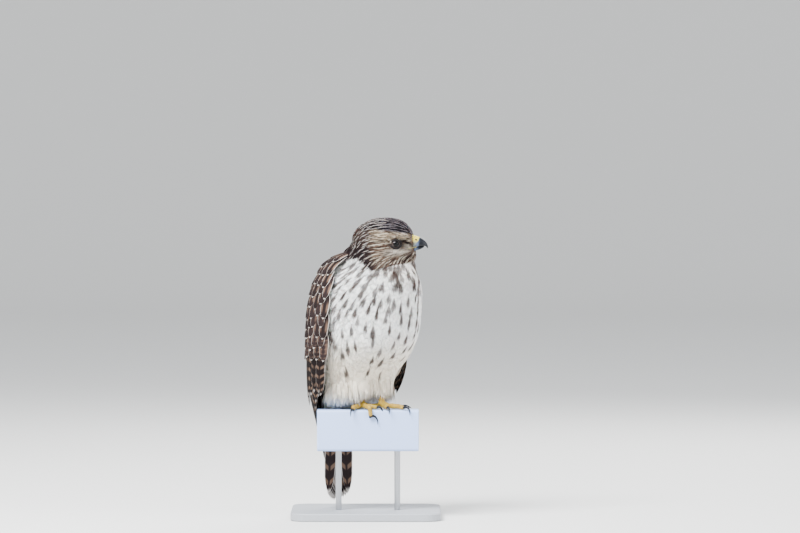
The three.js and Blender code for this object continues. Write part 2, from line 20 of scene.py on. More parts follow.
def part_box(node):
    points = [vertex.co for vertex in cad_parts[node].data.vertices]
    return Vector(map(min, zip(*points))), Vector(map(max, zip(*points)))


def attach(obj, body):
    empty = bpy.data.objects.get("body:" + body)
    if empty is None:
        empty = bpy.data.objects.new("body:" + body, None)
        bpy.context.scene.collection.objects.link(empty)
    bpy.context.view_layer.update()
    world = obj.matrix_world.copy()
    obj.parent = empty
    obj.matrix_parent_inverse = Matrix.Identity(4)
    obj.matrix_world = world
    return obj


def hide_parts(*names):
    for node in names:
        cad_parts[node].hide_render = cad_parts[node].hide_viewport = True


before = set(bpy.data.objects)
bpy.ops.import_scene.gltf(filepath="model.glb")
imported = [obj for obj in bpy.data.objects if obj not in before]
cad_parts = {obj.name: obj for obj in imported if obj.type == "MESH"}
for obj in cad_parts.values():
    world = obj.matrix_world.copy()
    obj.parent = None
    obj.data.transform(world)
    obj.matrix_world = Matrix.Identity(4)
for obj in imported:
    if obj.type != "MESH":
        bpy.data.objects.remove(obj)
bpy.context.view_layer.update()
draw = np.random.default_rng(11)

MM = 0.001
BODY_YAW = math.radians(42)
HEAD_YAW = math.radians(40)
HEAD_AT = (7, -24, 246)
SIDES = ((1, "left"), (-1, "right"))
FEET_ALONG, FEET_BACK = 6, 10  # from the middle of the rail's top
rail_low, rail_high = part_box("perch_rail")
FEET = Vector(
    (
        (rail_low.x + rail_high.x) / 2 + FEET_ALONG * MM,
        (rail_low.y + rail_high.y) / 2 + FEET_BACK * MM,
        rail_high.z,
    )
)
RAIL_FRONT = (FEET.y - rail_low.y) / MM  # from the feet forward to the rail's face
BIRD = Matrix.Translation(FEET) @ Matrix.Rotation(BODY_YAW, 4, "Z") @ Matrix.Scale(MM, 4)
HEAD = BIRD @ Matrix.Translation(HEAD_AT) @ Matrix.Rotation(HEAD_YAW, 4, "Z")


def placed(matrix, points):
    """Points of a local frame in millimetres as world points in metres."""
    m = np.array(matrix)
    return np.asarray(points) @ m[:3, :3].T + m[:3, 3]


def local(matrix, points):
    return placed(matrix.inverted(), points)


def smoothstep(low, high, value):
    t = np.clip((value - low) / (high - low), 0, 1)
    return t * t * (3 - 2 * t)


def unit(vectors):
    return vectors / np.maximum(np.linalg.norm(vectors, axis=-1, keepdims=True), 1e-12)


def linear(red, green, blue):
    """A colour as seen, 0 to 255, in linear light."""
    seen = np.array([red, green, blue]) / 255
    return np.where(seen <= 0.04045, seen / 12.92, ((seen + 0.055) / 1.055) ** 2.4)


WHITE = linear(247, 247, 247)
CREAM = linear(234, 220, 198)
BUFF = linear(206, 184, 154)
DARK = linear(38, 29, 29)
BLACKISH = linear(20, 17, 18)


def mixed(a, b, share):
    share = np.asarray(share)[..., None]
    return a * (1 - share) + b * share


# Meshes


def linked(name, data):
    """A new object of the scene for a mesh, a lamp or a camera."""
    made = bpy.data.objects.new(name, data)
    bpy.context.collection.objects.link(made)
    return made


def smooth_faces(mesh):
    mesh.polygons.foreach_set("use_smooth", [True] * len(mesh.polygons))


def from_bmesh(name, built, material, matrix=None):
    """A mesh object from a bmesh, brought out of its local frame."""
    if matrix is not None:
        bmesh.ops.transform(built, matrix=matrix, verts=built.verts)
    mesh = bpy.data.meshes.new(name)
    built.to_mesh(mesh)
    built.free()
    mesh.materials.append(material)
    smooth_faces(mesh)
    return linked(name, mesh)


def from_arrays(name, vertices, quads, triangles, material):
    """A joined mesh of many small closed forms, from arrays of vertex numbers."""
    mesh = bpy.data.meshes.new(name)
    mesh.vertices.add(len(vertices))
    mesh.vertices.foreach_set("co", np.asarray(vertices, np.float32).ravel())
    loops = np.concatenate([quads.ravel(), triangles.ravel()]).astype(np.int32)
    mesh.loops.add(len(loops))
    mesh.loops.foreach_set("vertex_index", loops)
    mesh.polygons.add(len(quads) + len(triangles))
    starts = np.concatenate([np.arange(len(quads)) * 4, quads.size + np.arange(len(triangles)) * 3])
    mesh.polygons.foreach_set("loop_start", starts.astype(np.int32))
    mesh.update(calc_edges=True)
    smooth_faces(mesh)
    mesh.materials.append(material)
    mesh.update()
    return linked(name, mesh)


def vertex_arrays(mesh):
    points = np.empty(len(mesh.vertices) * 3)
    normals = np.empty(len(mesh.vertices) * 3)
    mesh.vertices.foreach_get("co", points)
    mesh.vertex_normals.foreach_get("vector", normals)
    return points.reshape(-1, 3), normals.reshape(-1, 3)


def set_uv(mesh, name, per_vertex):
    """A UV map from one pair for each vertex."""
    corners = np.empty(len(mesh.loops), np.int32)
    mesh.loops.foreach_get("vertex_index", corners)
    layer = mesh.uv_layers.new(name=name)
    layer.data.foreach_set("uv", np.asarray(per_vertex, np.float32)[corners].ravel())


def set_colour(mesh, name, per_vertex):
    layer = mesh.attributes.new(name, "FLOAT_COLOR", "POINT")
    colours = np.ones((len(per_vertex), 4), np.float32)
    colours[:, :3] = per_vertex
    layer.data.foreach_set("color", colours.ravel())


def set_value(mesh, name, per_vertex):
    mesh.attributes.new(name, "FLOAT", "POINT").data.foreach_set("value", per_vertex)


def finished(made, slot, *nodes):
    """The piece rides on the one body, and stands for its CAD nodes."""
    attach(made, "root")
    if nodes:
        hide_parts(*nodes)
    return made


# Materials


class Nodes:
    """A node tree, with short calls to add and join its nodes."""

    def __init__(self, tree):
        self.tree = tree

    def add(self, kind, settings=None, **inputs):
        node = self.tree.nodes.new(kind)
        for key, value in (settings or {}).items():
            setattr(node, key, value)
        for key, value in inputs.items():
            self.join(value, node.inputs[key.replace("_", " ")])
        return node

    def join(self, value, socket):
        if isinstance(value, bpy.types.NodeSocket):
            self.tree.links.new(value, socket)
        else:
            socket.default_value = value

    def math(self, operation, *values):
        node = self.add("ShaderNodeMath", {"operation": operation})
        for value, socket in zip(values, node.inputs):
            self.join(value, socket)
        return node.outputs[0]

    def times(self, value, *factors):
        for factor in factors:
            value = self.math("MULTIPLY", value, factor)
        return value

    def shifted(self, value, noise, amount):
        """The value, moved up or down by up to half the amount as the noise goes."""
        return self.math("ADD", value, self.times(self.math("SUBTRACT", noise, 0.5), amount))

    def ramp(self, value, low, high, out_low=0.0, out_high=1.0):
        node = self.add("ShaderNodeMapRange", {"interpolation_type": "SMOOTHSTEP"})
        for part, socket in zip((value, low, high, out_low, out_high), node.inputs):
            self.join(part, socket)
        return node.outputs["Result"]

    def mix(self, share, first, second, blend="MIX"):
        node = self.add("ShaderNodeMix", {"data_type": "RGBA", "blend_type": blend}, Factor=share)
        self.join(first, node.inputs[6])
        self.join(second, node.inputs[7])
        return node.outputs[2]

    def attribute(self, name, output="Color"):
        return self.add("ShaderNodeAttribute", {"attribute_name": name}).outputs[output]

    def uv(self, name):
        return self.add("ShaderNodeUVMap", {"uv_map": name}).outputs["UV"]

    def noise(self, vector, scale, detail=3.0):
        return self.add("ShaderNodeTexNoise", Vector=vector, Scale=scale, Detail=detail).outputs["Fac"]

    def place(self):
        return self.add("ShaderNodeTexCoord").outputs["Object"]


class Shader(Nodes):
    """A material and its nodes."""

    def __init__(self, name, **values):
        self.material = bpy.data.materials.new(name)
        self.material.use_nodes = True
        super().__init__(self.material.node_tree)
        self.surface = self.tree.nodes["Principled BSDF"]
        for socket, value in values.items():
            self.surface.inputs[socket.replace("_", " ")].default_value = value

    def colour(self, value):
        self.join(value, self.surface.inputs["Base Color"])

    def rough(self, value):
        self.join(value, self.surface.inputs["Roughness"])

    def bump(self, height, distance, strength):
        node = self.add("ShaderNodeBump", Height=height, Distance=distance, Strength=strength)
        self.join(node.outputs["Normal"], self.surface.inputs["Normal"])


def rgba(colour):
    return (*[float(c) for c in colour], 1.0)


def seen(*colour):
    return rgba(linear(*colour))


BARB_SLANT = 0.35
BARB_JITTER_SCALE = 9.0
BODY_BARBS, VANE_BARBS = 60.0, 260.0  # how closely the barbs lie on a small and on a long feather


def barb_group():
    """Fine slanting barbs on both sides of a shaft, from a feather's own UV: a colour and a height."""
    group = bpy.data.node_groups.new("feather barbs", "ShaderNodeTree")
    for name, way, kind in (
        ("Colour", "INPUT", "NodeSocketColor"),
        ("UV", "INPUT", "NodeSocketVector"),
        ("Count", "INPUT", "NodeSocketFloat"),
        ("Colour", "OUTPUT", "NodeSocketColor"),
        ("Height", "OUTPUT", "NodeSocketFloat"),
    ):
        group.interface.new_socket(name, in_out=way, socket_type=kind)
    nodes = Nodes(group)
    given, result = nodes.add("NodeGroupInput").outputs, nodes.add("NodeGroupOutput").inputs
    place = nodes.add("ShaderNodeSeparateXYZ", Vector=given["UV"]).outputs
    slant = nodes.math("SUBTRACT", place["Y"], nodes.times(nodes.math("ABSOLUTE", place["X"]), BARB_SLANT))
    wave = nodes.math("SINE", nodes.times(slant, given["Count"]))
    height = nodes.math("MULTIPLY_ADD", wave, 0.5, 0.5)
    jitter = nodes.noise(given["UV"], BARB_JITTER_SCALE, 2.0)
    darker = nodes.math("MULTIPLY_ADD", nodes.times(height, jitter), 0.34, 0.83)
    nodes.join(nodes.mix(1.0, given["Colour"], darker, "MULTIPLY"), result["Colour"])
    nodes.join(height, result["Height"])
    return group


BARBS = barb_group()


def feathered(shader, colour, uv, count):
    node = shader.add("ShaderNodeGroup", {"node_tree": BARBS}, Colour=colour, UV=uv, Count=count)
    shader.colour(node.outputs["Colour"])
    shader.bump(node.outputs["Height"], 0.0002, 0.5)


def coat_material():
    shader = Shader(
        "body feathers",
        Roughness=0.88,
        Specular_IOR_Level=0.06,
        Subsurface_Weight=0.06,
        Subsurface_Scale=0.002,
    )
    feathered(shader, shader.attribute("Plumage"), shader.uv("Feather"), BODY_BARBS)
    return shader.material


def skin_material():
    shader = Shader("skin under the feathers", Roughness=0.95, Specular_IOR_Level=0.15)
    fine = shader.noise(shader.place(), 900.0)
    tint = shader.ramp(fine, 0.3, 0.7, 0.85, 1.0)
    shader.colour(shader.mix(1.0, shader.attribute("Plumage"), tint, "MULTIPLY"))
    shader.bump(fine, 0.0006, 0.6)
    return shader.material


BAR_PHASE = 44.0  # seven bars to a vane


def vane_material():
    """Wing and tail feathers: dark ground, pale fringe along edge and tip, bars across the vane."""
    shader = Shader("wing and tail feathers", Roughness=0.6, Specular_IOR_Level=0.05)
    uv = shader.uv("Feather")
    place = shader.add("ShaderNodeSeparateXYZ", Vector=uv).outputs
    along, away = place["Y"], shader.math("ABSOLUTE", place["X"])
    traits = shader.add("ShaderNodeSeparateColor", Color=shader.attribute("Traits")).outputs
    wobble = shader.noise(uv, 6.0)
    rim = shader.ramp(shader.shifted(away, wobble, 0.18), 0.85, 0.96)
    end = shader.ramp(shader.shifted(along, wobble, 0.06), 0.93, 0.97)
    fringe = shader.times(shader.math("MAXIMUM", rim, end), traits["Red"])
    wave = shader.math("SINE", shader.times(shader.math("ADD", along, shader.times(away, 0.05)), BAR_PHASE))
    bars = shader.times(shader.ramp(wave, 0.25, 0.8), traits["Green"], shader.ramp(away, 0.05, 0.35))
    middle = shader.times(shader.ramp(along, 0.25, 0.55), shader.ramp(along, 0.62, 0.8, 1.0, 0.0))
    spots = shader.times(middle, traits["Blue"], shader.ramp(away, 0.25, 0.6))
    shaft = shader.ramp(away, 0.02, 0.05, 0.65, 0.0)
    colour = shader.attribute("Plumage")
    for share, over in (
        (bars, seen(122, 98, 82)),
        (spots, seen(138, 110, 92)),
        (fringe, seen(222, 214, 206)),
        (shaft, seen(26, 21, 20)),
    ):
        colour = shader.mix(share, colour, over)
    feathered(shader, colour, uv, VANE_BARBS)
    return shader.material


def bill_material():
    """Blue-grey horn at the root, near black towards the tip."""
    shader = Shader("bill horn", Roughness=0.32, Specular_IOR_Level=0.3)
    grain = shader.noise(shader.place(), 700.0, 5.0)
    mottle = shader.shifted(shader.attribute("Tip", "Fac"), grain, 0.3)
    shader.colour(shader.mix(shader.ramp(mottle, 0.05, 0.6), seen(74, 86, 108), seen(13, 15, 21)))
    shader.bump(grain, 0.00008, 0.4)
    return shader.material


def claw_material():
    shader = Shader("claw horn", Roughness=0.35, Specular_IOR_Level=0.22)
    grain = shader.noise(shader.place(), 900.0)
    shader.colour(shader.mix(shader.ramp(grain, 0.3, 0.8), seen(12, 13, 18), seen(28, 32, 42)))
    shader.bump(grain, 0.00006, 0.5)
    return shader.material


def cere_material():
    """Yellow above, dull grey where the cere meets the mouth."""
    shader = Shader("cere skin", Roughness=0.42, Subsurface_Weight=0.1, Subsurface_Scale=0.002)
    fine = shader.noise(shader.place(), 1100.0)
    bright = shader.mix(fine, seen(176, 156, 26), seen(208, 190, 62))
    dull = shader.mix(fine, seen(90, 98, 96), seen(112, 118, 106))
    shader.colour(shader.mix(shader.attribute("Under", "Fac"), bright, dull))
    shader.bump(fine, 0.0001, 0.6)
    return shader.material


def foot_material():
    """Yellow skin in plates and grains, darker in the creases."""
    shader = Shader("scaled yellow skin", Roughness=0.5, Subsurface_Weight=0.08, Subsurface_Scale=0.002)
    place = shader.place()
    cells = shader.add("ShaderNodeTexVoronoi", {"feature": "DISTANCE_TO_EDGE"}, Vector=place, Scale=720.0)
    crease = shader.ramp(cells.outputs["Distance"], 0.0, 0.08)
    skin = shader.mix(shader.noise(place, 120.0), seen(152, 116, 22), seen(190, 160, 48))
    groove = shader.times(crease, shader.attribute("Plate", "Fac"))
    shader.colour(shader.mix(groove, seen(104, 70, 18), skin))
    shader.bump(crease, 0.00025, 0.8)
    return shader.material


def eye_material():
    """Iris and pupil by the distance from the eye's axis, as a share of its radius."""
    shader = Shader("eye", Roughness=0.06, Specular_IOR_Level=0.13)
    ring = shader.attribute("Ring", "Fac")
    rays = shader.noise(shader.place(), 1600.0, 4.0)
    iris = shader.mix(rays, seen(40, 33, 31), seen(66, 57, 54))
    iris = shader.mix(shader.ramp(ring, 0.64, 0.72), iris, seen(8, 7, 7))
    shader.colour(shader.mix(shader.ramp(ring, 0.5, 0.54), rgba((0.002, 0.002, 0.002)), iris))
    return shader.material


def rim_material():
    shader = Shader("eyelid skin", Roughness=0.5, Specular_IOR_Level=0.15)
    fine = shader.noise(shader.place(), 1500.0)
    shader.colour(shader.mix(fine, seen(9, 8, 9), seen(24, 22, 22)))
    shader.bump(fine, 0.00015, 0.8)
    return shader.material


def paint_material(name, colour, roughness, speckle):
    shader = Shader(name, Roughness=roughness, Coat_Weight=0.15, Coat_Roughness=0.3)
    place = shader.place()
    broad, fine = shader.noise(place, 14.0), shader.noise(place, 420.0)
    low, high = rgba(colour * (1 - speckle)), rgba(np.minimum(colour * (1 + speckle), 1))
    shader.colour(shader.mix(broad, low, high))
    shader.rough(shader.ramp(broad, 0.2, 0.8, roughness - 0.06, roughness + 0.08))
    shader.bump(fine, 0.00005, 0.35)
    return shader.material


def steel_material():
    shader = Shader("brushed steel", Metallic=1.0, Roughness=0.32)
    stretched = shader.add("ShaderNodeMapping", Vector=shader.place(), Scale=(1800.0, 1800.0, 14.0))
    brushed = shader.noise(stretched.outputs["Vector"], 1.0)
    shader.colour(shader.mix(brushed, seen(150, 152, 156), seen(198, 200, 204)))
    shader.rough(shader.ramp(brushed, 0.2, 0.8, 0.24, 0.42))
    shader.bump(brushed, 0.00003, 0.4)
    return shader.material


# Skin: one closed form under the body feathers

FLESH = ("head", "neck", "torso", "thigh_left", "thigh_right")
SKIN_VOXEL, SKIN_SMOOTHINGS = 2.6, 14
COAT_DEPTH, HEAD_COAT_LESS, EYE_RIM_BACK, BROW_RISE = 3.4, 1.6, 1.1, 1.6
EYE_RADIUS, EYE_FORWARD, EYE_SIDE, EYE_UP = 8.8, 17, 25.8, 2.4
EYE_LOOK = math.radians(68)
BILL_ROOT = (0, -46, 0)


def flesh_form():
    """The flesh nodes and the eyes joined, closed and smoothed."""
    built = bmesh.new()
    for name in (*FLESH, "eye_left", "eye_right"):
        built.from_mesh(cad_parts[name].data)
    bmesh.ops.remove_doubles(built, verts=built.verts, dist=1e-6)
    mesh = bpy.data.meshes.new("skin")
    built.to_mesh(mesh)
    built.free()
    made = linked("skin", mesh)
    remesh = made.modifiers.new("closed", "REMESH")
    remesh.mode, remesh.voxel_size = "VOXEL", SKIN_VOXEL * MM
    relax = made.modifiers.new("relaxed", "SMOOTH")
    relax.factor, relax.iterations = 0.5, SKIN_SMOOTHINGS
    done = bpy.data.meshes.new_from_object(made.evaluated_get(bpy.context.evaluated_depsgraph_get()))
    made.modifiers.clear()
    made.data = done
    return made


def coat_depth(points):
    """How deep the coat lies over the skin: least round the eyes and bill."""
    face = local(HEAD, points)
    on_head = smoothstep(70, 45, np.linalg.norm(face, axis=1))
    depth = COAT_DEPTH - HEAD_COAT_LESS * on_head
    depth *= smoothstep(6, 30, np.linalg.norm(face - np.array(BILL_ROOT), axis=1))
    for side in (-1, 1):
        eye = np.linalg.norm(face - np.array([side * EYE_SIDE, -EYE_FORWARD, EYE_UP]), axis=1)
        depth *= 0.25 + 0.75 * smoothstep(9, 18, eye)
        depth += EYE_RIM_BACK * smoothstep(11.5, 8.5, eye)
    return depth


def make_skin(material):
    made = flesh_form()
    points, normals = vertex_arrays(made.data)
    rise = BROW_RISE * brow(regions(points), 11.5, 14, 3.6)
    points += normals * (rise - coat_depth(points))[:, None] * MM
    made.data.vertices.foreach_set("co", points.ravel())
    made.data.update()
    made.name = made.data.name = "skin"
    bpy.context.view_layer.objects.active = made
    made.select_set(True)
    bpy.ops.object.mode_set(mode="EDIT")
    bpy.ops.mesh.select_all(action="SELECT")
    made.data.uv_layers.new(name="OFBake")
    bpy.ops.uv.smart_project(angle_limit=math.radians(66), island_margin=0.004)
    bpy.ops.object.mode_set(mode="OBJECT")
    made.select_set(False)
    smooth_faces(made.data)
    made.data.materials.append(material)
    return made


class Ground:
    """The skin as a surface to root feathers on: nearest points, normals and its unwrap."""

    def __init__(self, skin):
        skin.data.calc_loop_triangles()
        self.points, self.normals = vertex_arrays(skin.data)
        count = len(skin.data.loop_triangles)
        self.corners = np.empty(count * 3, np.int32)
        loops = np.empty(count * 3, np.int32)
        skin.data.loop_triangles.foreach_get("vertices", self.corners)
        skin.data.loop_triangles.foreach_get("loops", loops)
        self.corners, loops = self.corners.reshape(-1, 3), loops.reshape(-1, 3)
        unwrap = np.empty(len(skin.data.loops) * 2)
        skin.data.uv_layers["OFBake"].data.foreach_get("uv", unwrap)
        self.unwrap = unwrap.reshape(-1, 2)[loops]
        self.tree = BVHTree.FromPolygons(self.points.tolist(), self.corners.tolist())
        a, b, c = (self.points[self.corners[:, i]] for i in range(3))
        self.area = np.linalg.norm(np.cross(b - a, c - a), axis=1) / 2

    def scatter(self, spacing):
        """Roots spread over the surface, at the distance that spacing gives for each triangle's middle."""
        middle = self.points[self.corners].mean(axis=1)
        gap = spacing(middle)
        wanted = np.where(gap > 0, self.area / (np.maximum(gap, 0.1) * MM) ** 2, 0)
        tries = int(wanted.sum() * TRIES_PER_ROOT)
        picked = draw.choice(len(wanted), size=tries, p=wanted / wanted.sum())
        mix = draw.dirichlet((1, 1, 1), tries)
        roots = (self.points[self.corners[picked]] * mix[:, :, None]).sum(axis=1)
        normals = unit((self.normals[self.corners[picked]] * mix[:, :, None]).sum(axis=1))
        unwrap = (self.unwrap[picked] * mix[:, :, None]).sum(axis=1)
        kept = thinned(roots, gap[picked] * MM * LEAST_GAP)
        return roots[kept], normals[kept], unwrap[kept]

    def settle(self, points):
        """The nearest place on the surface to each point, and its normal."""
        where, facing = np.empty_like(points), np.empty_like(points)
        for i, point in enumerate(points):
            spot, _, face, _ = self.tree.find_nearest(point)
            where[i] = spot
            facing[i] = self.normals[self.corners[face]].mean(axis=0)
        return where, unit(facing)


TRIES_PER_ROOT, LEAST_GAP = 2.6, 0.72
NEIGHBOURS = list(itertools.product((-1, 0, 1), repeat=3))


def thinned(points, gaps):
    """Which points to keep so that no two are nearer than their gap, by cells of the largest gap."""
    cells, kept = {}, []
    for i, (x, y, z) in enumerate(np.floor(points / gaps.max()).astype(int)):
        near = (j for a, b, c in NEIGHBOURS for j in cells.get((x + a, y + b, z + c), ()))
        if all(np.dot(points[i] - points[j], points[i] - points[j]) > gaps[i] ** 2 for j in near):
            cells.setdefault((x, y, z), []).append(i)
            kept.append(i)
    return np.array(kept)


# Plumage: where each marking lies, in the body's and the head's own frames

BODY_AXIS_BACK = 4
HOOD_EDGE = ((0, 224), (30, 219), (68, 217), (107, 208), (139, 226), (180, 222))  # degrees, height
HOOD_REACH = 33
MALAR = (33, -19, 17, 5.5, 0.5)
CHEEK = (19, -9.6, 15, 4.2, 0.08)
HEAD_GROUND = (100, 82, 70)
HEAD_ZONE_COLOURS = (
    ("crown", (24, 21, 25), 1),
    ("band", (176, 158, 134), 0.9),
    ("nape", (38, 29, 29), 0.85),
    ("throat", (92, 77, 68), 0.8),
    ("ear", (118, 98, 81), 0.7),
)
# Colour, ovals, strength, the most it covers, and whether it keeps to the sides
HEAD_PATCHES = (
    ((84, 62, 50), [(3, 0, 8, 3.4, 0.25)], 0.8, 1, True),
    ((56, 42, 38), [MALAR], 1.15, 0.95, True),
    ((78, 66, 62), [(50, -15, 9, 10)], 1.1, 0.9, False),
    ((228, 217, 202), [CHEEK], 1.25, 0.95, True),
    ((140, 134, 122), [(36, -0.5, 7, 4.5)], 1.2, 0.9, True),
    # Near black over and before the eye, out to the bill's corner: dark eye-line feathers with painted shade
    # under the brow ridge.
    ((16, 13, 13), [(24, 7.6, 11, 2.7), (36, 3.6, 8, 1.9, -0.5)], 1.7, 0.97, True),
    ((24, 20, 20), [(18, 3, 11.5, 8.8)], 1.0, 0.85, True),
)
COLLAR = (33, 25, 26)


def turn_of(body):
    """The turn of points round the body's upright axis, in radians from its front."""
    return np.arctan2(body[:, 0], BODY_AXIS_BACK - body[:, 1])


def back_edge(start, up):
    """The turn in degrees at which something of the back starts, further round low down."""
    return start + 16 * smoothstep(104, 70, up)


def regions(points):
    """Where world points lie on the bird: heights, places on the head, and shares of its regions."""
    body, face = local(BIRD, points), local(HEAD, points)
    up, turn = body[:, 2], np.abs(np.degrees(turn_of(body)))
    fx, ff, fz = np.abs(face[:, 0]), -face[:, 1], face[:, 2]
    hood = smoothstep(-2.5, 2.5, up - np.interp(np.degrees(np.arctan2(fx, ff)), *zip(*HOOD_EDGE)))
    from_head = np.linalg.norm(face / np.array([1, 1.25, 1]), axis=1)
    hood = np.maximum(hood, smoothstep(-4, 4, HOOD_REACH - from_head))
    back = back_edge(104, up)
    mantle = smoothstep(back, back + 18, turn) * smoothstep(24, 60, up)
    return {"turn": turn, "up": up, "fx": fx, "ff": ff, "fz": fz, "hood": hood, "mantle": mantle}


def oval(r, ahead, up, long, tall, tilt=0.0):
    """Share of a soft oval on either side of the head. A positive tilt lowers its back end."""
    a, b = r["ff"] - ahead, r["fz"] - up
    c, s = math.cos(tilt), math.sin(tilt)
    return np.exp(-(((a * c + b * s) / long) ** 2) - ((b * c - a * s) / tall) ** 2)


def brow(r, up, long, tall):
    return oval(r, 19, up, long, tall, -0.12) * smoothstep(14, 20, r["fx"])


def head_zones(r):
    """Shares of the head's markings."""
    ff, fz = r["ff"], r["fz"]
    side = smoothstep(9, 18, r["fx"])
    crown = smoothstep(-3, 3, fz - (19 - 0.12 * (ff - 17)))
    crown = np.maximum(crown, smoothstep(12, 6, r["fx"]) * smoothstep(8, 14, fz))
    collar = smoothstep(-11, -20, ff + 0.4 * (fz + 17)) * smoothstep(6, -8, fz)
    return {
        "side": side,
        "crown": crown,
        "collar": collar,
        "band": smoothstep(4, 9, fz) * (1 - crown) * smoothstep(-28, -4, ff) * side,
        "nape": smoothstep(-7, -27, ff),
        "throat": smoothstep(-17, -24, fz) * (1 - collar),
        "ear": oval(r, -2, -15, 17, 7) * side,
    }


def head_colours(r):
    zones = head_zones(r)
    colour = linear(*HEAD_GROUND)
    for zone, over, strength in HEAD_ZONE_COLOURS:
        colour = mixed(colour, linear(*over), zones[zone] * strength)
    for over, ovals, strength, most, at_sides in HEAD_PATCHES:
        share = np.max([oval(r, *shape) for shape in ovals], axis=0)
        share = share * (zones["side"] if at_sides else 1)
        colour = mixed(colour, linear(*over), np.clip(share * strength, 0, most))
    return mixed(colour, linear(*COLLAR), zones["collar"] * 0.95)


def body_colours(r):
    """White breast, cream belly, and the dark back that the wings cover."""
    low = smoothstep(124, 56, r["up"]) * smoothstep(2, 30, r["up"])
    colour = mixed(WHITE, CREAM, 0.12 + 0.75 * low)
    wash = smoothstep(50, 12, r["turn"]) * smoothstep(176, 208, r["up"])
    colour = mixed(colour, BUFF, 0.3 * wash)
    return mixed(colour, DARK, r["mantle"])


# Marks: drops and lines that lie along the coat, the same on the feathers and on the skin


def flat_on(normals, lie):
    """The lie without what rises off the surface."""
    return unit(lie - normals * (lie * normals).sum(axis=1, keepdims=True))


class Marks:
    def __init__(self, ground):
        self.ground, self.rows = ground, []

    def add(self, spacing, length, half, colour, drop, strength):
        """Scatters marks. Spacing is a function of the regions, length and half width may be."""
        at, normals, _ = self.ground.scatter(lambda points: spacing(regions(points)))
        length, half = (size(regions(at)) if callable(size) else size for size in (length, half))
        lie = flat_on(normals, lie_of(at))
        across = np.cross(lie, normals)
        size = draw.uniform(0.72, 1.3, (2, len(at)))
        long, wide = length * size[0] * MM, half * size[1] * MM
        share = strength * draw.uniform(0.78, 1.0, len(at))
        colour = linear(*colour)
        for row in zip(at, lie, across, long, wide, share):
            self.rows.append((*row, colour, drop))

    def paint(self, points, colours, margin):
        """Lays the marks on colours of groups of points, both of shape (groups, points, 3)."""
        tree = KDTree(len(points))
        for i, middle in enumerate(points.mean(axis=1)):
            tree.insert(middle, i)
        tree.balance()
        for at, lie, across, long, wide, share, colour, drop in self.rows:
            near = [found[1] for found in tree.find_range(at, long / 2 + margin * MM)]
            if not near:
                continue
            offset = points[near] - at
            along = offset @ lie / long + 0.5
            end = 0.6 + 0.12 * drop
            swell = smoothstep(-0.2, 0.3 + 0.4 * drop, along)
            swell = swell * np.sqrt(np.clip(1 - (np.clip(along - end, 0, None) / (1 - end)) ** 2, 0, 1))
            near_line = smoothstep(1.2, 0.7, np.abs(offset @ across) / (wide * np.maximum(swell, 0.05)))
            inside = near_line * (along > -0.05) * (along < 1) * share
            colours[near] = mixed(colours[near], colour, inside)
        return colours


def gap_where(shown, gap):
    return np.where(shown, gap, 0)


def on_head(r, shown, gap):
    return gap_where(shown & (r["hood"] > 0.4), gap)


def make_marks(ground):
    """Brown drops on breast and flanks, pale and dark lines on the head."""

    def breast(r):
        high = smoothstep(120, 196, r["up"])
        gap = 18 - 4.5 * high - 3.0 * smoothstep(40, 10, r["turn"]) * smoothstep(170, 200, r["up"])
        gap = gap + 9 * smoothstep(96, 60, r["up"])
        return gap_where((r["turn"] < 103) & (r["up"] > 50) & (r["hood"] < 0.4), gap)

    def breast_long(r):
        centre = smoothstep(60, 20, r["turn"]) * smoothstep(172, 200, r["up"])
        return 19 - 4 * centre - 2 * smoothstep(110, 60, r["up"])

    def breast_half(r):
        return 3.9 + 1.4 * smoothstep(60, 20, r["turn"]) * smoothstep(160, 196, r["up"])

    def pale_lines(r):
        z = head_zones(r)
        shown = (z["nape"] > 0.5) | (z["collar"] > 0.5) | ((z["crown"] > 0.5) & (r["ff"] < 2))
        gap = np.where(z["collar"] > 0.5, 10.0, 6.2)
        gap = np.where((z["nape"] > 0.5) & (r["fz"] > 0), 6.0, gap)
        return on_head(r, shown, gap)

    def crown_lines(r):
        return on_head(r, (head_zones(r)["crown"] > 0.5) & (r["ff"] > -6), 4.8)

    def face_lines(ear_share, gap):
        """Lines over ear, band, throat and malar stripe, and behind the eye clear of the pale cheek."""

        def spacing(r):
            z = head_zones(r)
            free = (z["crown"] < 0.5) & (z["collar"] < 0.3) & (z["nape"] < 0.6)
            behind = (z["side"] > 0.5) & free & (r["ff"] < 8) & ~(oval(r, *CHEEK) > 0.55)
            shown = (z["ear"] > ear_share) | (z["band"] > 0.5) | (z["throat"] > 0.4) | behind
            return on_head(r, shown | (oval(r, *MALAR) > 0.3), gap)

        return spacing

    def cheek_lines(r):
        return on_head(r, (oval(r, 22, -8, 17, 8) > 0.3) & (r["fx"] > 12), 3.6)

    marks = Marks(ground)
    marks.add(breast, breast_long, breast_half, (54, 39, 34), 1.0, 0.95)
    marks.add(pale_lines, 11, 0.56, (192, 184, 178), 0.2, 0.85)
    marks.add(crown_lines, 11, 0.5, (134, 126, 130), 0.2, 0.7)
    marks.add(face_lines(0.25, 5.4), 9, 0.75, (206, 194, 176), 0.3, 0.85)
    marks.add(face_lines(0.2, 4.3), 9, 0.8, (46, 35, 32), 0.5, 0.9)
    marks.add(cheek_lines, 6, 0.45, (92, 76, 66), 0.5, 0.55)
    return marks


# Body feathers: fans of tapered barb strips, rooted on the skin along the coat's lie

STRIP_STATIONS = ((0.0, 0.42, 0.8), (0.38, 0.9, 1.1), (0.74, 0.96, 0.72))
STRIP_POINTS = 3 * len(STRIP_STATIONS) + 1


